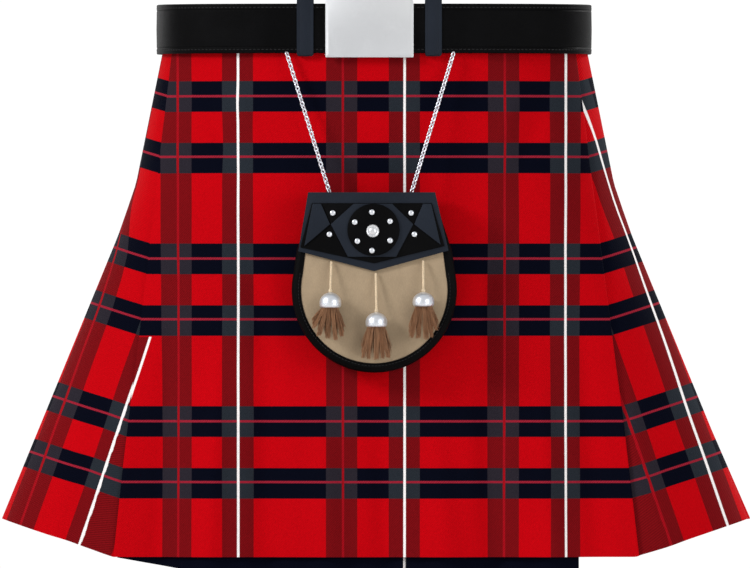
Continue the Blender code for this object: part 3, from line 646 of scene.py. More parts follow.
drape = {
    # soft folds that grow to the hem: x and z at the top, x at the hem, half width, height
    "hanging": (
        (-0.196, -0.190, -0.216, 0.016, -0.0074), (-0.152, -0.270, -0.165, 0.014, 0.0070),
        (-0.112, -0.215, -0.106, 0.018, -0.0079), (-0.052, -0.345, -0.046, 0.016, 0.0072),
        (0.004, -0.350, 0.012, 0.014, -0.0055), (0.058, -0.360, 0.070, 0.017, 0.0065),
        (0.104, -0.200, 0.121, 0.017, -0.0084), (0.158, -0.260, 0.176, 0.015, 0.0072),
        (0.196, -0.170, 0.224, 0.015, -0.0058), (-0.228, -0.280, -0.262, 0.015, 0.0055),
        (0.232, -0.290, 0.292, 0.017, 0.0055), (-0.250, -0.310, -0.312, 0.015, -0.0043),
    ),
    # drag lines that die out at both ends: x and z of each end, half width, height
    "pulled": (
        (-0.182, -0.040, -0.128, -0.180, 0.010, -0.0032), (-0.150, -0.040, -0.107, -0.128, 0.008, 0.0022),
        (0.176, -0.040, 0.132, -0.190, 0.011, -0.0032), (0.148, -0.044, 0.118, -0.140, 0.008, 0.0024),
        (-0.012, -0.040, -0.020, -0.138, 0.011, 0.0018), (0.030, -0.044, 0.022, -0.150, 0.010, -0.0020),
        (-0.128, -0.205, -0.112, -0.345, 0.012, -0.0034), (0.118, -0.200, 0.108, -0.330, 0.011, -0.0032),
    ),
    "topShare": 0.6, "fullAt": 0.72,  # a hanging fold's width at its top, and how far down it is full
    # unevenness: height, depth over which it starts, and two waves as rates along x and z and start
    "uneven": 0.00035, "unevenFrom": (0.05, 0.13), "ripples": ((61, 23, 1.0), (-19, 47, 0.0)),
    "covered": ((-0.112, -0.092), (-0.385, -0.360)),  # behind the sporran: x of its edge and z of its foot
    "frontOnly": (0.0, 0.045), "backOnly": (-0.01, 0.03),  # y over which the front's and back's folds come in
    # the back: a roll past each pleat as height and shift, with where it starts and is highest in reveals
    "ridge": (0.0040, 0.0074), "ridgeShift": 0.10, "spare": 8, "seed": 41,
    "rollFrom": -0.04, "rollTop": 0.22, "pleatFade": (-2.2, -0.2),
    "waves": ((0.0042, 5.4, 0.6), (0.0022, 3.1, 2.1)),  # over several pleats: height, pleats a wave and start
    "grows": 1.35, "calm": (0.85, 0.040),  # power of their growth to the hem; loss at the sides, reach in y
}
draw = np.random.default_rng(drape["seed"])
ridgeHeights = draw.uniform(*drape["ridge"], kilt["pleats"] + drape["spare"])
ridgeShifts = draw.uniform(-drape["ridgeShift"], drape["ridgeShift"], kilt["pleats"] + drape["spare"])


def eased(value, start, end):
    share = np.clip((np.asarray(value, float) - start) / (end - start), 0, 1)
    return share * share * (3 - 2 * share)


def liftAt(x, y, z, pleatAt, hemward):
    # how far the cloth stands out from its plain form, the same for every layer
    front = np.zeros_like(x)
    for topX, topZ, footX, half, height in drape["hanging"]:
        along = np.clip((z - topZ) / (frontHem - topZ), 0, 1.2)
        wide = half * (drape["topShare"] + (1 - drape["topShare"]) * along)
        across = (x - (topX + (footX - topX) * along)) / wide
        front += height * eased(along, 0, drape["fullAt"]) * np.exp(-across ** 2)
    for topX, topZ, footX, footZ, half, height in drape["pulled"]:
        along = np.clip((z - topZ) / (footZ - topZ), 0, 1)
        across = (x - (topX + (footX - topX) * along)) / half
        front += height * np.sin(math.pi * along) ** 1.5 * np.exp(-across ** 2)
    uneven = drape["uneven"] * eased(-z, *drape["unevenFrom"])
    for acrossRate, downRate, start in drape["ripples"]:
        uneven = uneven * np.sin(acrossRate * x + downRate * z + start)
    edge, foot = drape["covered"]
    covered = eased(-np.abs(x), *edge) * eased(z, *foot)
    front += uneven
    front = np.where(front > 0, front * (1 - covered), front) * eased(-y, *drape["frontOnly"])
    whole = np.floor(pleatAt)
    slot = np.clip(whole + drape["spare"] // 2, 0, len(ridgeHeights) - 2).astype(int)
    share = pleatAt - whole
    height = ridgeHeights[slot] * (1 - share) + ridgeHeights[slot + 1] * share
    shift = ridgeShifts[slot] * (1 - share) + ridgeShifts[slot + 1] * share
    # a roll just past each fold that sinks to the next one
    past = np.mod(share - drape["rollFrom"] - shift / 2, 1)
    top = drape["rollTop"] + shift / 2
    back = height * np.where(past < top, eased(past / top, 0, 1), eased((1 - past) / (1 - top), 0, 1))
    for tall, pleats, start in drape["waves"]:
        back = back + tall * np.sin(2 * math.pi * pleatAt / pleats + start)
    loss, near = drape["calm"]
    inPleats = eased(pleatAt, *drape["pleatFade"]) * eased(kilt["pleats"] - pleatAt, *drape["pleatFade"])
    sides = (1 - loss * np.exp(-(y / near) ** 2)) * eased(y, *drape["backOnly"])
    return front + back * inPleats * hemward ** drape["grows"] * sides


def levelAt(place):
    table, (mixed, near) = np.array(kilt["levels"]), kilt["hipsEased"]
    soft = mixed * max(0.0, 1 - abs(place - 2) / near)
    spots = [place - soft, place, place + soft]
    return np.array([np.interp(spots, np.arange(len(table)), column).mean() for column in table.T])


def oval(turn, half, front, back, frontPower):
    power = np.where(np.cos(turn) > 0, frontPower, kilt["backPower"])
    across, along = np.sin(turn), np.cos(turn)
    x = half * np.sign(across) * np.abs(across) ** (2 / power)
    return x, -np.where(along > 0, front, back) * np.sign(along) * np.abs(along) ** (2 / power)


def ringOf(half, front, back, frontPower):
    # length round from the front centre, places and outward directions
    turn = np.linspace(-math.pi, 3 * math.pi, 2 * kilt["ringSteps"] + 1)
    x, y = oval(turn, half, front, back, frontPower)
    length = np.concatenate([[0], np.cumsum(np.hypot(np.diff(x), np.diff(y)))])
    length -= np.interp(0, turn, length)
    slopeX, slopeY = np.gradient(x), np.gradient(y)
    size = np.hypot(slopeX, slopeY)
    total = length[-1] - length[-1 - kilt["ringSteps"]]
    return turn, length, x, y, slopeY / size, -slopeX / size, total


class ClothRow:
    def __init__(self, place):
        self.place = place
        zSide, self.zFront, zBack, half, front, back, fold = levelAt(place)
        self.turn, self.s, x, y, outX, outY, self.total = ringOf(half, front, back, kilt["frontPower"])
        outer = np.clip((np.abs(x) / half - kilt["flatShare"]) / (1 - kilt["flatShare"]), 0, 1)
        zAhead = self.zFront + (zSide - self.zFront) * outer
        zBehind = zSide + (zBack - zSide) * (y / back) ** 2
        self.spot = np.stack([x + kilt["centreX"], y, np.where(y < 0, zAhead, zBehind)])
        self.out = np.stack([outX, outY])
        waist, edges = kilt["levels"][1][1], (kilt["apronLeft"], kilt["apronRight"])
        down = (self.zFront - waist) / (frontHem - waist)
        self.edgeLeft, self.edgeRight = (top + (foot - top) * down for top, foot in edges)
        self.left, self.right = self.sOfX(self.edgeLeft), self.sOfX(self.edgeRight)
        self.underRight = self.sOfX(under["edgeX"])
        self.first = float(np.interp(kilt["pleatStart"], self.turn, self.s))
        self.reveal = (self.total - 2 * self.first) / kilt["pleats"]
        self.width = self.reveal * fold
        self.slope = 2 * kilt["pitch"] / self.reveal
        self.seam = self.left + kilt["seamOverlap"]
        self.hemward = max(0.0, (place - kilt["hangsFrom"]) / (3 - kilt["hangsFrom"]))
        self.sideDown = -1000 * zSide + 1000 * kilt["rise"] * (half - self.edgeRight)

    def sOfX(self, x):
        front = np.abs(self.turn) <= math.pi / 2
        return float(np.interp(x, self.spot[0][front], self.s[front]))

    def edge(self, i):
        return self.first + i * self.reveal

    def top(self, i, s):
        return kilt["wall"] / 2 + self.slope * (s - self.edge(i))

    def at(self, s, depth):
        s = np.asarray(s, float)
        x, y, level = (np.interp(s, self.s, row) for row in self.spot)
        outX, outY = (np.interp(s, self.s, row) for row in self.out)
        depth = depth - liftAt(x, y, level, (np.mod(s, self.total) - self.first) / self.reveal, self.hemward)
        return np.stack([x - depth * outX, y - depth * outY, level], axis=-1)

    def downAt(self, s):
        # millimetres down the cloth: level in front, rising with the hem at the hips
        x, y, z = (np.interp(s, self.s, row) for row in self.spot)
        edge = np.where(x > 0, self.edgeRight, -self.edgeLeft)
        front = -1000 * z + 1000 * kilt["rise"] * np.maximum(0, np.abs(x) - edge)
        share = eased(y, *kilt["riseOver"])
        return front * (1 - share) + self.sideDown * share


places = [0, 1, *np.linspace(1, 2, kilt["rowsAbove"] + 1)[1:], *np.linspace(2, 3, kilt["rowsBelow"] + 1)[1:]]
rows = [ClothRow(place) for place in places]
fellRow = ClothRow(2)

# where the pattern lies, in millimetres: x and thread across the apron
acrossFront = (
    (-212.5, -177.6), (-195.3, -161.0), (-181.8, -146.7), (-151.5, -115.2), (-135.6, -99.5), (-120.8, -84.3),
    (-48.1, -16.6), (-31.5, 0.0), (-17.2, 14.3), (14.3, 45.8), (30.0, 61.5), (45.2, 76.7),
    (112.8, 144.4), (129.5, 161.0), (143.8, 175.3), (174.5, 206.8), (190.0, 222.5), (204.7, 237.7),
)
# depth and x down each side's white line
whiteRight = (
    (0.0, 183.0), (74.4, 208.5), (113.7, 222.4), (144.0, 231.4), (170.8, 239.4), (186.0, 244.6),
    (202.9, 251.0), (229.7, 261.0), (261.9, 272.4), (294.0, 283.7), (343.3, 300.6), (392.6, 317.1),
    (440.3, 333.5), (496.3, 353.3), (540.0, 368.6),
)
whiteLeft = (
    (0.0, -172.0), (170.8, -200.5), (205.0, -200.0), (229.5, -201.5), (255.0, -207.0), (283.3, -215.1),
    (306.8, -223.2), (514.4, -295.0), (540.0, -303.9),
)
sidePlan = {
    "rightLine": 383.5, "leftLine": 61.5, "firstPleat": 424.0,  # threads of the white lines and first pleat
    "least": 0.52, "flatten": 0.97,  # how fast the cloth runs as it turns away
    # towards the apron the bands run wide from so near a line, by the share given, and away from it close
    "fineToWhite": 61.5, "clear": 1.6, "wide": 0.432, "close": 1.075,
}


def frontAcross(x):
    x = 1000 * np.asarray(x)
    known, cloth = np.array(acrossFront).T
    u = np.interp(x, known, cloth)
    return u + np.minimum(x - known[0], 0) + np.maximum(x - known[-1], 0)


def sideAcross(row, s, side):
    # cloth across a side, measured from its slanting white line; side is 1 right, -1 left
    x, down = 1000 * row.spot[0], -1000 * row.spot[2]
    near = (side * row.turn >= 0) & (side * row.turn <= math.pi / 2)
    white, line = (whiteRight, sidePlan["rightLine"]) if side > 0 else (whiteLeft, sidePlan["leftLine"])
    start = float(np.interp(0, (x - np.interp(down, *np.array(white).T))[near], row.s[near]))
    if side < 0:
        start += row.total
    rate = np.maximum(sidePlan["flatten"] * np.gradient(x, row.s) / 1000, sidePlan["least"])
    cloth = 1000 * np.concatenate([[0], np.cumsum((rate[1:] + rate[:-1]) / 2 * np.diff(row.s))])
    u = line + np.interp(s, row.s, cloth) - np.interp(start, row.s, cloth)
    u = np.where(u < line, line - (line - u) * sidePlan["close"], u)
    if side > 0:  # here from the dark band's fine line on
        line -= sidePlan["fineToWhite"]
    widens = line - side * sidePlan["clear"]
    return np.where((widens - u) * side > 0, widens + (u - widens) * sidePlan["wide"], u)


def foldArc(s, depth, inner):  # the half turn of cloth in a fold
    way = -1 if inner else 1
    turns = np.linspace(math.pi / 2, math.pi / 2 + way * math.pi, 6)
    return s + way * bend + bend * np.cos(turns), depth + bend * np.sin(turns)


def runOf(start, end, count):  # lengths between two folds, with one close beside each
    inner = np.linspace(start, end, count)
    way = 1 if end > start else -1
    step = way * kilt["besideFold"]
    return np.unique([start + step, *inner[1:-1], end - step])[::way]


def pleatThread(i):
    return sidePlan["firstPleat"] + 1000 * i * fellRow.reveal


def hiddenTurn(row, i, line, startAt, uEdge):
    # the inner fold before edge i, the layer back and the outer fold at edge i
    e, pitch = row.edge(i), kilt["pitch"]
    rate = max(1.0, fellRow.reveal / row.reveal)
    inner = row.edge(i - 1) + row.width
    turn = bend * row.slope
    s, depth = foldArc(inner, row.top(i - 1, inner) - turn - pitch / 2, True)
    uInner = pleatThread(i - 1) + 1000 * rate * row.width
    line += [(startAt, row.top(i - 1, startAt), uInner), *((a, b, uInner) for a, b in zip(s, depth))]
    back = runOf(inner - bend, e + bend, 7)
    line += [(a, row.top(i - 1, a) - pitch, uEdge + (uInner - uEdge) * (a - e) / (inner - e)) for a in back]
    s, depth = foldArc(e, kilt["wall"] / 2 + turn + pitch / 2, False)
    line += [(a, b, uEdge + 1000 * (a - e)) for a, b in zip(s, depth)]


def pleatWidth(row, first):
    line, seam = [], kilt["seam"] / 2
    startAt = row.edge(first - 1) + row.width - kilt["cutBack"] + seam
    rate = max(1.0, fellRow.reveal / row.reveal)
    for i in range(first, first + kilt["perWidth"]):
        hiddenTurn(row, i, line, startAt, pleatThread(i))
        e = row.edge(i)
        last = i == first + kilt["perWidth"] - 1
        end = e + row.width - (kilt["cutBack"] + seam if last else bend)
        run = [*runOf(e + bend, e + row.reveal, 11), *np.linspace(e + row.reveal, end, 6)]
        for s in run:
            share = np.clip((s - e) / row.reveal, 0, 1)
            bulge = kilt["bulge"] * row.hemward * math.sin(math.pi * share)
            line.append((s, row.top(i, s) - bulge, pleatThread(i) + 1000 * rate * (s - e)))
        startAt = end - kilt["lap"]
        if not last:
            line.pop()
    return line


def rightSide(row):
    shown, pitch = kilt["wall"] / 2, kilt["pitch"]
    start, cut = row.right - kilt["turnUnder"], row.edge(-1) + row.width - kilt["cutBack"] - kilt["seam"] / 2
    run = [*np.linspace(start, row.right, 5)[:-1], *np.linspace(row.right, row.edge(0), 44)[:-1]]
    run = np.array([*run, *np.linspace(row.edge(0), cut, 8)])
    tucked = pitch * (1 - eased(run, row.right, row.right + kilt["tuck"]))
    sunk = np.maximum(0, row.slope * (run - row.edge(-1)))
    return list(zip(run, shown + tucked + sunk, sideAcross(row, run, 1)))


def leftSide(row):
    line, pleats = [], kilt["pleats"]
    startAt = row.edge(pleats - 1) + row.width - kilt["cutBack"] + kilt["seam"] / 2
    hiddenTurn(row, pleats, line, startAt, float(sideAcross(row, row.edge(pleats), -1)))
    around, shown = row.total + row.left, kilt["wall"] / 2
    end = row.total + row.seam - kilt["seam"] / 2
    run = [*runOf(row.edge(pleats) + bend, around, 46), around, *np.linspace(around, end, 3)[1:]]
    deep = under["depths"][0] - shown
    u = sideAcross(row, run, -1)
    line += [(s, shown + deep * eased(s, around - kilt["sinks"], around), t) for s, t in zip(run, u)]
    return line


def overApron(row):
    depth, pitch = kilt["apronDepth"], kilt["pitch"]
    inner = row.right - kilt["turnUnder"]
    run = [*np.linspace(row.left, row.seam, 3), *np.linspace(row.seam, inner, 112)[1:]]
    line = [(s, depth) for s in [*run, *runOf(inner, row.right - bend, 5)]]
    for a in np.linspace(-math.pi / 2, math.pi / 2, 6):
        line.append((row.right - bend + bend * math.cos(a), depth + bend + bend * math.sin(a)))
    line += [(s, depth + pitch) for s in runOf(row.right - bend, inner, 5)]
    s, depth = np.array(line).T
    return list(zip(s, depth, frontAcross(np.interp(s, row.s, row.spot[0]))))


def underApron(row):
    start, end = row.seam + kilt["seam"] / 2, row.underRight
    run = np.linspace(start, end, 100)
    depths = np.interp(run, (start, start + under["seamSpread"], end), under["depths"])
    return list(zip(run, depths, frontAcross(np.interp(run, row.s, row.spot[0]))))


def clothPiece(name, node, section, front=False, below=False):
    grid, threads = [], []
    for row in rows:
        s, depth, u = np.array(section(row)).T
        points = row.at(s, depth)
        v = -1000 * np.interp(s, row.s, row.spot[2]) if front else row.downAt(s)
        if below:
            drop = np.minimum(under["slope"] * (points[:, 0] - under["cornerX"]), under["drop"])
            points[:, 2] -= drop * max(0.0, (row.place - under["dropsFrom"]) / (3 - under["dropsFrom"]))
            if row.place > under["squeezedRows"]:
                v = under["squeezedFrom"] + under["squeeze"] * (-1000 * points[:, 2] - under["squeezedFrom"])
            v = v + under["moved"]
        grid.append(points)
        threads.append(np.stack([u / sett["across"], v / sett["down"]], axis=-1))
    grid = np.array(grid)
    count = grid.shape[1]
    data = meshOf(name, grid.reshape(-1, 3), gridFaces(len(rows), count), np.concatenate(threads))
    made = loose(data)
    if below:  # 1 hides the warp bands, 2 the white lines as well
        aside = np.abs(threads[0][:, 0] * sett["across"] - under["whiteLine"])
        far = 1.0 + (aside > under["beside"])
        level = np.array([float(row.place > under["plainFrom"]) for row in rows])
        tint = data.attributes.new("plain", "FLOAT", "POINT")
        tint.data.foreach_set("value", (level[:, None] * far).ravel().astype(np.float32))
    shell = made.modifiers.new("shell", "SOLIDIFY")
    shell.thickness, shell.offset, shell.use_even_offset = kilt["wall"], 0, True
    settle(made)
    dress(made, "tartan", "kilt", (node,), 60)
    wide = np.linalg.norm(np.diff(grid, axis=1), axis=2)
    tall = np.linalg.norm(np.diff(grid, axis=0), axis=2)
    flat = float(wide.sum(1).max()), float(tall.sum(0).max())
    area = float((0.5 * (wide[1:] + wide[:-1]) * 0.5 * (tall[:, 1:] + tall[:, :-1])).sum())
    print(f"{name}: cut {flat[0]:.3f} x {flat[1]:.3f} m, {area:.3f} m2")


clothPiece("overApron", "over_apron", overApron, front=True)
clothPiece("underApron", "under_apron", underApron, front=True, below=True)
clothPiece("sidePanelRight", "side_panel_right", rightSide)
clothPiece("sidePanelLeft", "side_panel_left", leftSide)
for number, first in enumerate(range(0, kilt["pleats"], kilt["perWidth"]), 1):
    clothPiece(f"pleats{number}", f"pleats_{number}", lambda row, at=first: pleatWidth(row, at))
print("cloth made")


# stitches along lines
def spacedAlong(graph, given):  # places at a pitch on the curve, and the turn that lines a copy up with it
    line = {"Curve": given["Geometry"], "Length": given["Pitch"]}
    spaced = graph.add("GeometryNodeResampleCurve", {"mode": "LENGTH"}, line)[0]
    along = graph.add("GeometryNodeInputTangent")[0]
    return spaced, graph.add("FunctionNodeAlignRotationToVector", {"axis": "X"}, {"Vector": along})[0]


def laidOn(graph, spaced, copy, turn, size=(1, 1, 1)):
    inputs = {"Points": spaced, "Instance": copy, "Rotation": turn, "Scale": size}
    return graph.add("GeometryNodeInstanceOnPoints", {}, inputs)[0]


def circle(graph, sides, radius):
    inputs = {"Resolution": sides, "Radius": radius}
    return graph.add("GeometryNodeCurvePrimitiveCircle", {"mode": "RADIUS"}, inputs)[0]


def stitchTree():
    graph, given = newTree("stitchRow", Pitch="Float", Length="Float", Thick="Float", Material="Material")
    spaced, turn = spacedAlong(graph, given)
    bead = graph.add("GeometryNodeMeshUVSphere", {}, {"Segments": 6, "Rings": 5, "Radius": 0.5})[0]
    thick = given["Thick"]
    size = graph.add("ShaderNodeCombineXYZ", {}, {0: given["Length"], 1: thick, 2: thick})[0]
    return endTree(graph, laidOn(graph, spaced, bead, turn, size), given)


stitchRow = stitchTree()


def sew(name, runs, body, slot, pitch=0.0042, length=0.0029, thick=0.0007):
    sizes = {"Pitch": pitch, "Length": length, "Thick": thick, "Material": finishes["thread"]}
    dress(grown(lineObject(name, runs), stitchRow, sizes), None, body)


# waistband, belt, loops and hangers
band = {"top": 0.022, "bottom": -0.018, "wall": 0.003, "ease": 0.0011, "steps": 200, "stitchIn": 0.005}
belt = {
    "half": 0.02475, "wall": 0.0032, "width": 0.2163, "front": 0.1174, "back": 0.1232,
    "centreX": -0.0004, "power": 2.85, "gap": 0.012, "steps": 260, "ease": 0.0011,
    "stitchIn": 0.0038, "stitchEnds": 4, "crown": 0.0003,
    # a pressed line near each edge: how far in it is, then its points as up from there and out
    "creaseIn": 0.0062, "crease": ((-0.0014, 0), (-0.0006, 0), (0, -0.0004), (0.0006, 0), (0.0014, 0)),
}


def onRing(ring, at, centreX):
    # places at lengths round a level ring, and the ways outward from them
    s = ring[1]
    x, y, outX, outY = (np.interp(at, s, row) for row in ring[2:6])
    line = [Vector((a + centreX, b, 0)) for a, b in zip(x, y)]
    return line, [Vector((a, b, 0)).normalized() for a, b in zip(outX, outY)]


def makeBand():
    inset, half = band["wall"] / 2, (band["top"] - band["bottom"]) / 2
    ring = ringOf(*(levelAt(0)[3:6] - inset), kilt["frontPower"])
    total = ring[-1]
    line, outward = onRing(ring, np.linspace(0, total, band["steps"], endpoint=False), kilt["centreX"])
    line = [p + Vector((0, 0, (band["top"] + band["bottom"]) / 2)) for p in line]
    made = loose(sweep("waistBand", line, outward, strapProfile(band["wall"], half, band["ease"]), True))
    dress(made, "lining", "kilt", ("waistband",), recalc=True)
    up = Vector((0, 0, half - band["stitchIn"]))
    sew("bandStitches", [[p - o * inset + up for p, o in zip(line, outward)]], "kilt", "tartan")


def beltAt(steps):
    ring = ringOf(belt["width"], belt["front"], belt["back"], belt["power"])
    at = belt["gap"] / 2 + np.linspace(0, 1, steps) * (ring[-1] - belt["gap"])
    return onRing(ring, at, belt["centreX"])


def makeBelt():
    line, outward = beltAt(belt["steps"])
    half, face = belt["half"], belt["wall"] / 2
    lower = [(face + out, up + belt["creaseIn"] - half) for up, out in belt["crease"]]
    profile = strapProfile(belt["wall"], half, belt["ease"]) + lower + [(face + belt["crown"], 0.0)]
    profile += [(out, -up) for out, up in reversed(lower)]
    made = loose(sweep("beltStrap", line, outward, profile))
    dress(made, "beltLeather", "kilt", ("belt",), 55, recalc=True)
    sewn = list(zip(line, outward))[belt["stitchEnds"]:-belt["stitchEnds"]]
    ways = [Vector((0, 0, side * (half - belt["stitchIn"]))) for side in (1, -1)]
    sew("beltStitches", [[p + o * face + up for p, o in sewn] for up in ways], "kilt", "black_leather")


loops = {
    "places": (("beltLoopLeft", "belt_loop_left", -0.0690), ("beltLoopRight", "belt_loop_right", 0.0587)),
    "width": 0.0168, "wall": 0.0011, "top": 0.0320, "bottom": -0.0278, "clear": 0.0004,
    "turn": 0.0016,  # where it turns over the belt
    "corner": 0.0034, "cornerShare": 0.8,  # how its edges draw in at the top and the bottom
    "ease": 0.0003, "crown": 0.0002,
    "groove": ((0.0026, 0), (0.0030, -0.0002), (0.0034, 0)),  # in from the edge, and out
}


def beltLean(x, reach):
    front = sorted((p.x, p.y) for p in beltAt(1200)[0] if p.y < 0)
    xs, ys = np.array(front).T
    rise = float(np.interp(x + reach / 2, xs, ys) - np.interp(x - reach / 2, xs, ys))
    return float(np.interp(x, xs, ys)), math.atan2(rise, reach)


def loopPath():
    # round the belt from its outer top corner: y and z of each point, and its way outward
    wall, turn, path = loops["wall"] / 2, loops["turn"], []
    reach = belt["wall"] / 2 + loops["clear"] + wall
    low, high = loops["bottom"] + wall + turn, loops["top"] - wall - turn
    for start, (side, z) in enumerate(((1, high), (-1, high), (-1, low), (1, low))):
        for a in np.linspace(start, start + 1, 6) * math.pi / 2:
            way = math.cos(a), math.sin(a)
            path.append((side * (reach - turn) + turn * way[0], z + turn * way[1], *way))
        if start % 2:  # then straight down behind, or up in front
            rise = low + high - 2 * z
            path += [(side * reach, z + rise * t, side, 0) for t in np.linspace(0, 1, 22)[1:-1]]
    return path


def loopRing(z):  # the loop's cross-section at a height, as across and out
    wall, corner, ease = loops["wall"] / 2, loops["corner"], loops["ease"]
    near = min(z - loops["bottom"], loops["top"] - z)
    drawnIn = corner - math.sqrt(max(0, corner ** 2 - max(0, corner - near) ** 2))
    half = loops["width"] / 2 - drawnIn * loops["cornerShare"]
    right = [(half, 0), (half - ease, wall)]
    right += [(half - inward, wall + out) for inward, out in loops["groove"]]
    left = [(-x, out) for x, out in reversed(right)]
    return [*right, (0, wall + loops["crown"]), *left, (ease - half, -wall), (0, -wall), (half - ease, -wall)]


def makeLoops():
    path = loopPath()
    rings = [[(x, y + outY * out, z + outZ * out) for x, out in loopRing(z)] for y, z, outY, outZ in path]
    points = [point for ring in rings for point in ring]
    faces = gridFaces(len(rings), len(rings[0]), True, closed=True)
    for name, node, x in loops["places"]:
        y, lean = beltLean(x, loops["width"])
        data = meshOf(name, points, faces)
        data.transform(Matrix.Translation((x, y, 0)) @ Matrix.Rotation(lean, 4, "Z"))
        dress(loose(data), "slateLeather", "kilt", (node,), 50, recalc=True)
    for node, name in (("hanger_left", "hangerLeft"), ("hanger_right", "hangerRight")):
        softened(node, name, "beltLeather", "kilt", loops["ease"])


makeBand()
makeBelt()
makeLoops()
print("waistband, belt and loops made")


# buckle
buckle = {"ease": 0.0009, "clipEase": 0.0003}
softened("buckle_plate", "bucklePlate", "buckleSilver", "kilt", buckle["ease"], 3, 30)
softened("buckle_clip", "buckleClip", "buckleSilver", "kilt", buckle["clipEase"])
print("buckle made")


# sporran
sporran = {
    "x": -0.0002, "z": -0.2608, "radius": 0.0822, "panelRadius": 0.0733,
    "topZ": -0.1665, "topHalf": 0.0590, "shoulder": (0.0775, -0.2225),
    "panelTopZ": -0.2100, "panelTopHalf": 0.0672,
    "bodyY": (-0.1310, -0.1610), "panelY": (-0.1613, -0.1632), "rimFrontY": -0.1642,
    "bodyEase": 0.0062, "bodyBackEase": 0.004, "rimEase": 0.0010,
    "panelEase": 0.0009, "panelBackEase": 0.0002, "panelDome": 0.0013, "panelClear": 0.0003,
    "sewnOut": 0.0022, "stitch": (0.0034, 0.0023, 0.0006),  # out from the suede; pitch, length and thickness
}


def lowerArc(radius, steps=90):
    turns = np.radians(np.linspace(12, -192, steps))
    return [(sporran["x"] + radius * math.cos(a), sporran["z"] + radius * math.sin(a)) for a in turns]


def throughLine(start, end, steps):
    start, way = np.array(start), np.array(end) - start
    return [tuple(start + way * t) for t in np.linspace(0, 1, steps, endpoint=False)]


def bodyOutline():
    x, half, (shoulderX, shoulderZ) = sporran["x"], sporran["topHalf"], sporran["shoulder"]
    arc, left = lowerArc(sporran["radius"]), (x - shoulderX, shoulderZ)
    corners = [(x - half, sporran["topZ"]), (x + half, sporran["topZ"]), (x + shoulderX, shoulderZ), arc[0]]
    made = [p for a, b in zip(corners, corners[1:]) for p in throughLine(a, b, 14)]
    return made + arc + throughLine(arc[-1], left, 6)[1:] + throughLine(left, corners[0], 14)


def panelOutline():
    x, inset = sporran["x"], sporran["panelClear"]
    half, top = sporran["panelTopHalf"] - inset, sporran["panelTopZ"] - inset
    arc = lowerArc(sporran["panelRadius"] - inset)
    made = throughLine((x - half, top), (x + half, top), 26) + throughLine((x + half, top), arc[0], 4)
    return made + arc + throughLine(arc[-1], made[0], 4)[1:]


def makePouch():
    ease, backEase = sporran["bodyEase"], sporran["bodyBackEase"]
    body = pillow("sporranBody", bodyOutline(), *sporran["bodyY"], ease, backEase)
    dress(loose(body), "pouchLeather", "sporran", ("sporran_body",), 50, recalc=True)
    ease, backEase = sporran["panelEase"], sporran["panelBackEase"]
    panel = pillow("suedePanel", panelOutline(), *sporran["panelY"], ease, backEase, sporran["panelDome"])
    dress(loose(panel), "suede", "sporran", ("suede_panel",), 50, recalc=True)
    softened("sporran_rim", "sporranRim", "pouchLeather", "sporran", sporran["rimEase"], 3)
    sewn = lowerArc(sporran["panelRadius"] + sporran["sewnOut"], 120)
    groove = [(px, sporran["rimFrontY"], pz) for px, pz in sewn]
    sew("pouchStitches", [groove], "sporran", "black_leather", *sporran["stitch"])


flapPlates = (  # node, piece, finish, slot, ease
    ("flap_frame", "flapFrame", "slateLeather", "slate_leather", 0.0007),
    ("flap_inset", "flapInset", "pouchLeather", "black_leather", 0.0005),
    ("flap_hexagon", "flapHexagon", "slateLeather", "slate_leather", 0.0005),
    ("flap_plate_left", "flapPlateLeft", "slateLeather", "slate_leather", 0.0004),
    ("flap_plate_right", "flapPlateRight", "slateLeather", "slate_leather", 0.0004),
    ("flap_disc", "flapDisc", "pouchLeather", "black_leather", 0.0006),
)
studs = {
    "insetY": -0.1692, "discY": -0.1730, "sunk": 0.0003,
    "onInset": ((-0.0415, -0.1842), (-0.0448, -0.2054), (0.0364, -0.1842), (0.0397, -0.2054)),
    "onDisc": (
        (-0.0025, -0.1835), (-0.0196, -0.1933), (0.0155, -0.1925),
        (-0.0170, -0.2122), (0.0155, -0.2116), (-0.0025, -0.2216),
    ),
    "centre": (-0.0017, -0.2021),
}
smallStud = {
    "radius": 0.0027, "steps": 20,
    "foot": ((0, 0), (1, 0), (1.05, 0.0004), (1.02, 0.0009)),  # share of the radius, and height
    "dome": (1.0, 0.0009, 0.001134), "turns": (12, 30, 48, 66, 80),  # share of the radius, height and rise
}
centreStud = {
    "radius": 0.0064, "steps": 40,
    "foot": (
        (0, 0), (1, 0), (1.02, 0.0006), (0.99, 0.0014), (0.90, 0.0019),
        (0.78, 0.0017), (0.72, 0.0011), (0.68, 0.0010),
    ),
    "dome": (0.64, 0.0010, 0.0018), "turns": (8, 25, 42, 60, 78),
}


def studAt(stud, x, y, z):
    radius, (share, height, rise) = stud["radius"], stud["dome"]
    profile = [(radius * out, up) for out, up in stud["foot"]]
    for a in np.radians(stud["turns"]):
        profile.append((radius * share * math.cos(a), height + rise * math.sin(a)))
    return turned([*profile, (0, height + rise)], (x, y + studs["sunk"], z), (0, -1, 0), stud["steps"])


def makeFlap():
    for node, name, finish, slot, ease in flapPlates:
        softened(node, name, finish, "sporran", ease)
    small = [studAt(smallStud, x, studs["insetY"], z) for x, z in studs["onInset"]]
    small += [studAt(smallStud, x, studs["discY"], z) for x, z in studs["onDisc"]]
    nodes = tuple(f"stud_{k:02d}" for k in range(1, 11))
    made = loose(meshOf("studs", *gathered(small)))
    dress(made, "brightSilver", "sporran", nodes, 50, recalc=True)
    x, z = studs["centre"]
    made = loose(meshOf("studCentre", *studAt(centreStud, x, studs["discY"], z)))
    dress(made, "buckleSilver", "sporran", ("stud_11",), 50, recalc=True)


makePouch()
makeFlap()
print("sporran made")


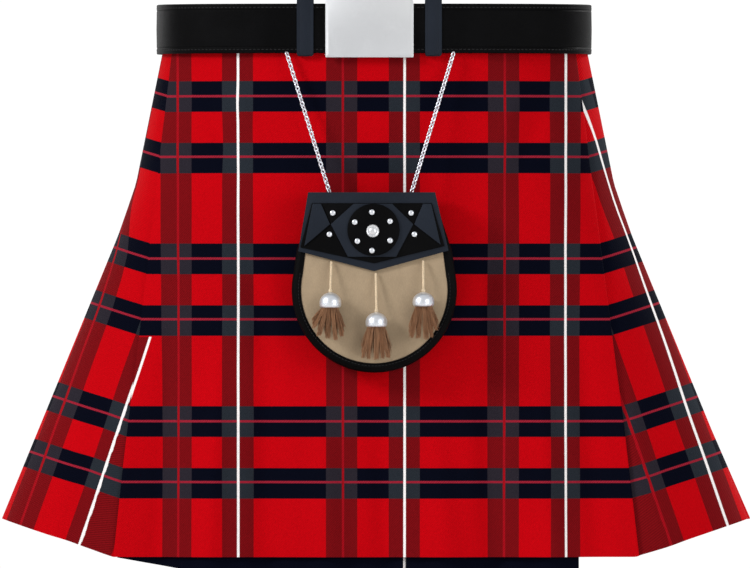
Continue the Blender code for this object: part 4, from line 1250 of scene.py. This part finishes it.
# chains
chains = {
    "runs": (  # piece, node, the top and the foot
        ("chainLeft", "chain_left", (-0.0870, -0.1180, -0.0262), (-0.0453, -0.1450, -0.1620)),
        ("chainRight", "chain_right", (0.0783, -0.1180, -0.0262), (0.0373, -0.1450, -0.1620)),
    ),
    "pitch": 0.0040, "halfLength": 0.0027, "halfWidth": 0.0019, "wire": 0.00078, "turn": math.radians(30),
}


def linkTree():
    kinds = dict.fromkeys(("Pitch", "Reach", "Width", "Wire", "Turn"), "Float")
    graph, given = newTree("linkChain", **kinds, Material="Material")
    spaced, lined = spacedAlong(graph, given)
    size = graph.add("ShaderNodeCombineXYZ", {}, {0: given["Reach"], 1: given["Width"], 2: 1.0})[0]
    bent = graph.add("GeometryNodeTransform", {}, {"Geometry": circle(graph, 14, 1.0), "Scale": size})[0]
    wire = circle(graph, 7, given["Wire"])
    link = graph.add("GeometryNodeCurveToMesh", {}, {"Curve": bent, "Profile Curve": wire})[0]
    # each link a quarter turn on from the one before
    angle = graph.add("GeometryNodeInputIndex")[0] * (math.pi / 2) + given["Turn"]
    spin = graph.add("FunctionNodeAxisAngleToRotation", {}, {"Axis": (1, 0, 0), "Angle": angle})[0]
    turn = graph.add("FunctionNodeRotateRotation", {"rotation_space": "LOCAL"}, {0: lined, 1: spin})[0]
    return endTree(graph, laidOn(graph, spaced, link, turn), given)


def makeChains():
    tree = linkTree()
    sizes = {
        "Pitch": chains["pitch"], "Reach": chains["halfLength"], "Width": chains["halfWidth"],
        "Wire": chains["wire"], "Turn": chains["turn"], "Material": finishes["brightSilver"],
    }
    for name, node, top, foot in chains["runs"]:
        points = [Vector(top).lerp(Vector(foot), t) for t in np.linspace(0, 1, 12)]
        dress(grown(lineObject(name, [points]), tree, sizes), None, "sporran", (node,), 60)


makeChains()
print("chains made")


# tassels
tassels = {
    # side, cord x, cord top, cap top, cap foot, hair tip, cap x
    "rows": (
        ("left", -0.0430, -0.2325, -0.2630, -0.2784, -0.3102, -0.0438),
        ("middle", 0.0012, -0.2440, -0.2828, -0.2975, -0.3300, 0.0019),
        ("right", 0.0484, -0.2318, -0.2628, -0.2771, -0.3096, 0.0486),
    ),
    "pivotY": -0.1672, "y": -0.1762,
    "cord": 0.0012, "strandOut": 0.46, "strandThick": 0.56,  # its radius, and shares of it for a strand
    "lay": 0.0058,  # the length in which a strand goes round once
    "above": 0.0006,  # the cord's foot over the cap, and the knot over that
    "knot": ((0, 0.0026), (0.0013, 0.0023), (0.0019, 0.0012), (0.0020, 0.0), (0.0015, -0.0010), (0, -0.0014)),
}
cap = {  # shares of its radius and height, down its outside, round its lip and up inside
    "radius": 0.0108, "steps": 44, "topRadius": 0.0019, "topHeight": 0.995,
    "dome": (0.34, 0.65), "domeTurns": (76, 66, 56, 46, 36, 26, 16, 8),
    "rings": ((1, 0.31), (1.012, 0.27), (0.992, 0.235), (0.985, 0.215), (1, 0.19), (0.985, 0.155)),
    "lip": (0.74, 0.235, 0.15), "lipTurns": (15, 35, 55, 75, 90),
    "inside": ((0.66, 0.01), (0.62, 0.12), (0, 0.14)),
}
hair = {
    "strands": 56, "thick": 0.00022, "waviness": 0.0005, "seed": 7, "seedStep": 5,
    # each lock: x at the root and the tip, length share, half width at the tip
    "left": (
        (-0.0052, -0.0168, 0.62, 0.0019), (-0.0036, -0.0113, 0.88, 0.0036), (-0.0010, -0.0030, 0.95, 0.0034),
        (0.0020, 0.0054, 1.00, 0.0026), (0.0046, 0.0116, 0.90, 0.0033),
    ),
    "middle": (
        (-0.0057, -0.0128, 0.93, 0.0028), (-0.0036, -0.0080, 0.97, 0.0030), (0.0000, -0.0004, 1.00, 0.0033),
        (0.0030, 0.0064, 0.96, 0.0029), (0.0056, 0.0120, 0.94, 0.0032),
    ),
    "right": (
        (-0.0054, -0.0121, 0.96, 0.0036), (-0.0026, -0.0051, 0.97, 0.0028), (0.0006, 0.0026, 1.00, 0.0035),
        (0.0032, 0.0078, 0.93, 0.0024), (0.0052, 0.0130, 0.72, 0.0024),
    ),
    # each layer of locks: y at the tip, shares of length and width
    "layers": ((-0.0044, 1.0, 1.0), (0.0, 0.66, 1.35), (0.0040, 0.84, 1.1)),
    "rootHalf": 0.0024, "rootIn": 0.0018, "rootSpread": 0.6, "sway": 0.0007, "shortest": 0.97, "widens": 0.8,
    # each strand: its place in the lock, flatter in y, its waves down the lock, its end and its taper
    "inLock": (0.25, 1.0), "flat": (1.0, 0.75, 0.0), "waves": 9.0, "end": (-0.0018, 0.0010),
    "taper": (1.15, 0.55),
}


def hairTree():
    kinds = {"Strands": "Int", "Thick": "Float", "Waviness": "Float", "Seed": "Int", "Material": "Material"}
    graph, given = newTree("hairLocks", **kinds)
    copies = {0: given["Geometry"], "Amount": given["Strands"]}
    many = graph.add("GeometryNodeDuplicateElements", {"domain": "SPLINE"}, copies)[0]
    along = graph.add("GeometryNodeSplineParameter")["Factor"]
    belly = graph.add("GeometryNodeInputRadius")[0]  # the lock's own thickness at each point
    vector = {"data_type": "FLOAT_VECTOR"}

    def perStrand(low, high, shift):
        inputs = {0: (low,) * 3, 1: (high,) * 3, 8: given["Seed"] + shift}  # 8 is the seed's socket
        drawn = graph.add("FunctionNodeRandomValue", vector, inputs)[0]
        return graph.add("GeometryNodeFieldOnDomain", {"domain": "CURVE", **vector}, {0: drawn})[0]

    def firstOf(place):
        return graph.add("ShaderNodeSeparateXYZ", {}, {0: place})[0]

    def vectors(operation, *inputs):
        return graph.add("ShaderNodeVectorMath", {"operation": operation}, dict(enumerate(inputs)))[0]

    aside = vectors("MULTIPLY", vectors("NORMALIZE", perStrand(-1.0, 1.0, 0)), hair["flat"])
    reach = belly * firstOf(perStrand(*hair["inLock"], 11))
    wave = firstOf(perStrand(0.0, 6.28, 23))  # starts anywhere in a wave
    bent = graph.maths("SINE", along * hair["waves"] + wave) * given["Waviness"] * along
    drop = graph.add("ShaderNodeCombineXYZ", {}, {2: -firstOf(perStrand(*hair["end"], 37)) * along})[0]
    offset = vectors("ADD", graph.scaled(aside, reach + bent), drop)
    moved = graph.add("GeometryNodeSetPosition", {}, {"Geometry": many, "Offset": offset})[0]
    rootThick, thinner = hair["taper"]
    strand = {"Curve": moved, "Profile Curve": circle(graph, 3, given["Thick"]), "Fill Caps": True}
    strand["Scale"] = rootThick - along * thinner
    return endTree(graph, graph.add("GeometryNodeCurveToMesh", {}, strand)[0], given)


def cordOf(top, foot):
    # three strands laid together and the knot on the cap
    way, parts = foot - top, []
    for k in range(3):
        line = []
        for t in np.linspace(0, 1, 60):
            a = 2 * math.pi * (t * way.length / tassels["lay"] + k / 3)
            out = Vector((math.cos(a), math.sin(a), 0)) * tassels["cord"] * tassels["strandOut"]
            line.append(top + way * t + out)
        parts.append(tube(line, tassels["cord"] * tassels["strandThick"], 7))
    knot = turned(tassels["knot"], foot + Vector((0, 0, tassels["above"])), (0, 0, 1), 16)
    return gathered([*parts, knot])


def capOf(place, tall):
    radius, (start, rise), (lip, curl, lipTall) = cap["radius"], cap["dome"], cap["lip"]
    profile = [(0, tall), (cap["topRadius"], tall * cap["topHeight"])]
    for a in np.radians(cap["domeTurns"]):
        profile.append((radius * math.cos(a), tall * (start + rise * math.sin(a))))
    profile += [(radius * out, tall * up) for out, up in cap["rings"]]
    for a in np.radians(cap["lipTurns"]):
        profile.append((radius * (lip + curl * math.cos(a)), tall * lipTall * (1 - math.sin(a))))
    profile += [(radius * out, tall * up) for out, up in cap["inside"]]
    return turned(profile, place, (0, 0, 1), cap["steps"])


def locksOf(name, side, place, length, seed):
    chance, (x, y, z) = np.random.default_rng(seed), place
    rootHalf, rootIn, rootSpread = hair["rootHalf"], hair["rootIn"], hair["rootSpread"]
    steps = np.linspace(0, 1, 10)
    runs, halves = [], []
    for tipY, cut, broad in hair["layers"]:
        for rootX, tipX, share, wide in hair[side]:
            sway = chance.uniform(-hair["sway"], hair["sway"])
            reach = length * share * cut * chance.uniform(hair["shortest"], 1.0) + rootIn
            across = x + rootX + (tipX - rootX) * steps + sway * np.sin(math.pi * steps)
            ahead = y + tipY * (rootSpread + (1 - rootSpread) * steps)
            runs.append(list(zip(across, ahead, z + rootIn - reach * steps)))
            halves.append(rootHalf + (wide * broad - rootHalf) * steps ** hair["widens"])
    made = lineObject(name, runs)
    for spline, radii in zip(made.data.splines, halves):
        spline.points.foreach_set("radius", radii)
    return made


def makeTassels():
    tree = hairTree()
    for number, (side, x, zCord, zCap, zSkirt, zTip, capX) in enumerate(tassels["rows"]):
        body, title, y = f"tassel_{side}", side.capitalize(), tassels["y"]
        top, foot = Vector((x, tassels["pivotY"], zCord)), Vector((capX, y, zCap + tassels["above"]))
        made = loose(meshOf(f"cord{title}", *cordOf(top, foot)))
        dress(made, "cord", body, (f"tassel_cord_{side}",), 60, recalc=True)
        made = loose(meshOf(f"cap{title}", *capOf((capX, y, zSkirt), zCap - zSkirt)))
        dress(made, "brightSilver", body, (f"tassel_cap_{side}",), 50, recalc=True)
        locks = locksOf(f"hair{title}", side, (capX, y, zSkirt), zSkirt - zTip, hair["seed"] + number)
        made = grown(locks, tree, {
            "Strands": hair["strands"], "Thick": hair["thick"], "Waviness": hair["waviness"],
            "Seed": hair["seed"] + hair["seedStep"] * number, "Material": finishes["hair"],
        })
        dress(made, None, body, (f"tassel_hair_{side}",), 80)


makeTassels()
print("tassels made")
